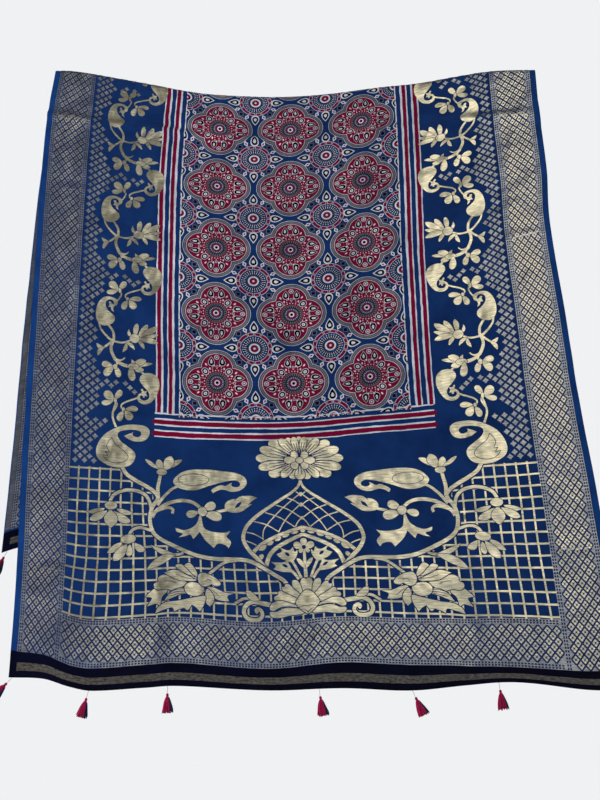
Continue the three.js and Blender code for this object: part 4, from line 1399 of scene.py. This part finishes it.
def make_patterns():
    """All that is printed or woven on the ground, as thin pieces just above it or its reverse."""
    panel = joined([print_panel(), stripe_drawing()])
    ground, petals, marks = bands()
    vine, end = vines(), woven_end()
    squares, vine, strips = trellis([*vine, end]), joined(vine), hem_strips()
    edges, floats = selvedges(EDGE_INSET), selvedges(FLOATS_INSET)
    rows = (  # name, drawing, ink, material, slot, height
        ("print_of_crimson", panel, CRIMSON_INK, CRIMSON, "print_crimson", 0.62),
        ("print_of_cream", panel, CREAM_INK, CREAM, "print_cream", 0.62),
        ("print_of_black", panel, BLACK_INK, BLACK, "print_black", 0.62),
        ("print_of_grey", panel, GREY_INK, GREY, "print_black", 0.62),
        ("zari_band_ground", ground, ZARI_DULL, ZARI_DARK, "zari", 0.7),
        ("zari_band_petals", petals, ZARI_INK, ZARI, "zari", 0.85),
        ("zari_band_marks", marks, BLACK_INK, BLUE_MARK, "cloth", 0.85),
        ("zari_vine", vine, ZARI_INK, ZARI, "zari", 0.8),
        ("zari_trellis", squares, ZARI_DULL, ZARI_DARK, "zari", 0.75),
        ("zari_end_flowers", end, ZARI_INK, ZARI, "zari", 0.8),
        ("hem_strip", strips, ZARI_DULL, STRIP, "hem", 0.62),
        ("selvedge_strips", edges, ZARI_DULL, SELVEDGE, "cloth", 0.5),
        ("reverse_of_crimson", panel, CRIMSON_INK, CRIMSON_BACK, "print_crimson", -0.62),
        ("reverse_of_cream", panel, CREAM_INK, CREAM_BACK, "print_cream", -0.62),
        ("reverse_band_ground", ground, ZARI_DULL, ZARI_DARK, "zari", -0.6),
        ("reverse_band_marks", marks, BLACK_INK, BLUE_MARK, "cloth", -0.75),
        ("reverse_floats", floats, ZARI_DULL, FLOATS, "zari", -0.55),
        ("reverse_vine", vine, ZARI_INK, ZARI_DARK, "zari", -0.65),
        ("reverse_trellis", squares, ZARI_DULL, ZARI_DARK, "zari", -0.65),
        ("reverse_end_flowers", end, ZARI_INK, ZARI_DARK, "zari", -0.65),
        ("reverse_hem_strip", strips, ZARI_DULL, STRIP, "hem", -0.62),
    )
    return [lay(*row) for row in rows]


# ---- the tassels: a thread, a knot, a bound head and a skirt of yarns ----
FRONT_TASSELS = (  # u, lean in degrees
    (-526, -42), (-377, -12), (-241, 2), (21, 9), (179, 24), (325, 6), (520, 10),
)
BACK_TASSELS = (
    (-522, -24), (-373, 4), (-224, -6), (-75, 8), (75, -3), (224, 7), (373, -8), (522, 12),
)
THREAD_LENGTH, THREAD_RADIUS, THREAD_SIDES = 12, 0.45, 5
THREAD_ROWS, THREAD_SWAY, THREAD_WAVE = 6, 0.35, 5
HEAD_LENGTH, HEAD_SIDES = 8, 14
YARNS, YARN_SIDES = 46, 4
YARN_RADII = (0.85, 0.95, 1.0, 1.0, 1.05, 1.0, 0.5)
GOLDEN_ANGLE = 2.39996
SKIRT_LENGTH = 25
TASSEL_RADIUS = 6  # in the yarn's own coordinates
SKIRT_DEPTH = 0.6
SKIRT_ROOT, SKIRT_TIP = 3.0, 10.6  # its radius at the head and at its foot
SKIRT_IN_HEAD = 0.6
SKIRT_CURVE, CURL, CURL_RATE = 0.8, 0.5, 6  # how fast it widens, and how each yarn curls
TIP_SPREAD, LENGTH_SPREAD = (0.9, 1.08), (-2.2, 1.2)
NAVY_FROM, NAVY_TURN, NAVY_SKIP = 0.42, 0.3, 5  # the navy side, and the yarns in it that are maroon
MAROON_PART, NAVY_PART, THREAD_PART = range(3)
HEAD = (  # down, radius
    (0, 0.5), (0.5, 1.6), (1.8, 2.3), (3, 2.5), (3.4, 2.2), (4.0, 2.35), (4.4, 2.1), (5.0, 2.3),
    (5.4, 2.1), (6.4, 3.0), (8.0, 3.9), (9.0, 3.2), (10, 0.6),
)


def tube(path, radii, sides):
    """Points and quads of a round tube about a path that mostly runs down."""
    path = np.array(path, float)
    run = unit(np.gradient(path, axis=0))
    side = unit(np.cross(run, (0, 1, 0)))
    depth = np.cross(run, side)
    angle = 2 * np.pi * np.arange(sides) / sides
    ring = side[:, None] * np.cos(angle)[None, :, None] + depth[:, None] * np.sin(angle)[None, :, None]
    points = path[:, None] + ring * np.array(radii)[:, None, None]
    rows, s = np.meshgrid(np.arange(len(path) - 1), np.arange(sides), indexing="ij")
    a, b = rows * sides + s, rows * sides + (s + 1) % sides
    quads = np.stack([a, a + sides, b + sides, b], -1).reshape(-1, 4)
    return points.reshape(-1, 3), quads


def tassel_parts(random):
    """Each part of a tassel hung from the origin: its points, its quads and its material."""
    drops = np.linspace(0, -THREAD_LENGTH - 1, THREAD_ROWS)
    sway = THREAD_SWAY * np.sin(np.linspace(0, THREAD_WAVE, THREAD_ROWS))
    thread = np.stack([sway, 0 * drops, drops], 1)
    parts = [(*tube(thread, [THREAD_RADIUS] * THREAD_ROWS, THREAD_SIDES), THREAD_PART)]
    top = -THREAD_LENGTH
    head = [(0, 0, top - down) for down, _ in HEAD]
    parts.append((*tube(head, [radius for _, radius in HEAD], HEAD_SIDES), MAROON_PART))
    share = np.linspace(0, 1, len(YARN_RADII))
    for k in range(YARNS):
        ring = math.sqrt((k + 0.5) / YARNS)
        angle = k * GOLDEN_ANGLE
        tip = SKIRT_TIP * ring * random.uniform(*TIP_SPREAD)
        length = SKIRT_LENGTH + random.uniform(*LENGTH_SPREAD)
        reach = lerp(SKIRT_ROOT * ring, tip, share ** SKIRT_CURVE)
        reach = reach + CURL * np.sin(share * CURL_RATE + k) * share
        x = reach * math.cos(angle)
        y = reach * math.sin(angle) * lerp(1, SKIRT_DEPTH, share)
        z = top - HEAD_LENGTH + SKIRT_IN_HEAD - share * length
        navy = math.cos(angle - NAVY_TURN) > NAVY_FROM and k % NAVY_SKIP
        yarn = tube(np.stack([x, y, z], 1), YARN_RADII, YARN_SIDES)
        parts.append((*yarn, NAVY_PART if navy else MAROON_PART))
    return parts


def make_tassel(name, u, v, lean, seed):
    """A tassel hung at (u, v) on the hem, leaning to the right by so many degrees."""
    points, quads, kinds, count = [], [], [], 0
    for part_points, part_quads, kind in tassel_parts(np.random.default_rng(seed)):
        points.append(part_points)
        quads.append(part_quads + count)
        kinds += [kind] * len(part_quads)
        count += len(part_points)
    turn = Matrix.Rotation(-math.radians(lean), 3, "Y")
    hem = place(np.array([u], float), np.array([v], float))[0]
    points = np.concatenate(points) @ np.array(turn).T + hem
    around_it = np.arctan2(points[:, 1] - hem[1], points[:, 0] - hem[0]) * TASSEL_RADIUS
    uv = np.stack([around_it, points[:, 2]], 1)
    return as_object(name, points, np.concatenate(quads), (MAROON, NAVY_YARN, THREAD), kinds, uv)


def hang_tassels(table, v, side):
    """The tassels of one hem, each standing for the solid of its number."""
    made = []
    for k, (u, lean) in enumerate(table):
        piece = make_tassel(f"{side}_yarn_tassel_{k + 1}", u, v, lean, seed=7 * k + len(side))
        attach(piece, "root")
        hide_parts(f"{side}_tassel_{k + 1}")
        made.append(piece)
    return made


# ---- the camera, the light and the floor ----
def aim(obj, forward, roll=0.0):
    """Turns an object so that it looks along forward, its right side level but for the roll."""
    forward = unit(np.array(forward, float))
    right = unit(np.cross(forward, (0, 0, 1)))
    up = np.cross(right, forward)
    c, s = math.cos(roll), math.sin(roll)
    axes = np.stack([c * right + s * up, c * up - s * right, -forward], 1)
    obj.rotation_mode = "QUATERNION"
    obj.rotation_quaternion = Matrix(axes.tolist()).to_quaternion()


def softbox(name, at, target, size, power, colour=(255, 255, 255)):
    """A soft rectangular light at one place, in metres, that faces another."""
    light = bpy.data.lights.new(name, "AREA")
    light.shape = "RECTANGLE"
    light.size, light.size_y = size
    light.energy = power
    light.color = tint(colour)[:3]
    made = bpy.data.objects.new(name, light)
    made.location = at
    aim(made, np.array(target) - np.array(at))
    bpy.context.collection.objects.link(made)
    return made


# the camera as fitted to the photograph's outline: metres, and radians
CAMERA_AT = (0.08408, -1.77373, -1.48504)
CAMERA_PITCH, CAMERA_YAW, CAMERA_ROLL = 0.40320635, -0.04297484, -0.01968537
FLOOR_REACH, FLOOR_LEVEL = 7, -1.75


def make_camera():
    """The camera at the photograph's viewing angle."""
    data = bpy.data.cameras.new("camera")
    data.lens = 45
    data.sensor_width = 36
    data.clip_start, data.clip_end = 0.05, 60
    made = bpy.data.objects.new("camera", data)
    made.location = CAMERA_AT
    level = math.cos(CAMERA_PITCH)
    forward = (math.sin(CAMERA_YAW) * level, math.cos(CAMERA_YAW) * level, math.sin(CAMERA_PITCH))
    aim(made, forward, CAMERA_ROLL)
    bpy.context.collection.objects.link(made)
    bpy.context.scene.camera = made


def make_floor():
    """A plain pale floor below the cloth."""
    mesh = bpy.data.meshes.new("floor")
    corners = [(x * FLOOR_REACH, y * FLOOR_REACH, FLOOR_LEVEL) for x, y in BOX]
    mesh.from_pydata(corners, [], [(0, 1, 2, 3)])
    coat = bpy.data.materials.new("floor_paint")
    coat.use_nodes = True
    shader = coat.node_tree.nodes["Principled BSDF"]
    shader.inputs["Base Color"].default_value = tint((225, 226, 228))
    shader.inputs["Roughness"].default_value = 0.9
    mesh.materials.append(coat)
    floor = bpy.data.objects.new("floor", mesh)
    bpy.context.collection.objects.link(floor)


DARK_WAY = (-0.8, 0, 0.6)  # the side of the room that gives the least light
ROOM_LIGHT = (0.86, 0.06)  # its strength away from this way and along it
ROOM_FADE = (0.26, 0.46)  # how far towards it, as a cosine, the light starts and ends its fading


def make_world():
    """Plain pale surroundings to the camera, lit as a room that is darker up on the left."""
    world = bpy.data.worlds.new("surroundings")
    world.use_nodes = True
    nodes, links = world.node_tree.nodes, world.node_tree.links
    seen = nodes["Background"]
    seen.inputs["Color"].default_value = tint((240, 241, 243))
    lit = add_node(nodes, "Background", Color=tint((228, 236, 250)))
    facing = add_node(nodes, "TexCoord")
    share = add_node(nodes, "VectorMath")
    share.operation = "DOT_PRODUCT"
    share.inputs[1].default_value = DARK_WAY
    strength = add_node(nodes, "MapRange")
    for socket, value in zip(("From Min", "From Max", "To Min", "To Max"), (*ROOM_FADE, *ROOM_LIGHT)):
        strength.inputs[socket].default_value = value
    path = add_node(nodes, "LightPath")
    mix = add_node(nodes, "MixShader")
    links.new(facing.outputs["Generated"], share.inputs[0])
    links.new(share.outputs["Value"], strength.inputs["Value"])
    links.new(strength.outputs["Result"], lit.inputs["Strength"])
    links.new(path.outputs["Is Camera Ray"], mix.inputs["Fac"])
    links.new(lit.outputs["Background"], mix.inputs[1])
    links.new(seen.outputs["Background"], mix.inputs[2])
    links.new(mix.outputs["Shader"], nodes["World Output"].inputs["Surface"])
    bpy.context.scene.world = world
    bpy.context.scene.view_settings.view_transform = "Standard"


make_camera()
make_floor()
make_world()
left_light = softbox(
    "left_softbox", (-2.6, -1.4, -0.7), (-0.2, 0, -0.6), (1.6, 1.6), 92, (246, 250, 255)
)
left_light.visible_glossy = False
softbox("right_softbox", (0.9, -2.6, 0.85), (0.3, 0, -0.6), (1.2, 1.5), 13, (255, 250, 238))
softbox("back_softbox", (0.6, 2.8, 0.4), (0, 0, -0.6), (2, 2), 40)

sheet = make_sheet()
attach(sheet, "root")
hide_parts("cloth")
hung = make_patterns()
hung += hang_tassels(FRONT_TASSELS, FRONT_LENGTH, "front")
hung += hang_tassels(BACK_TASSELS, -BACK_LENGTH, "back")
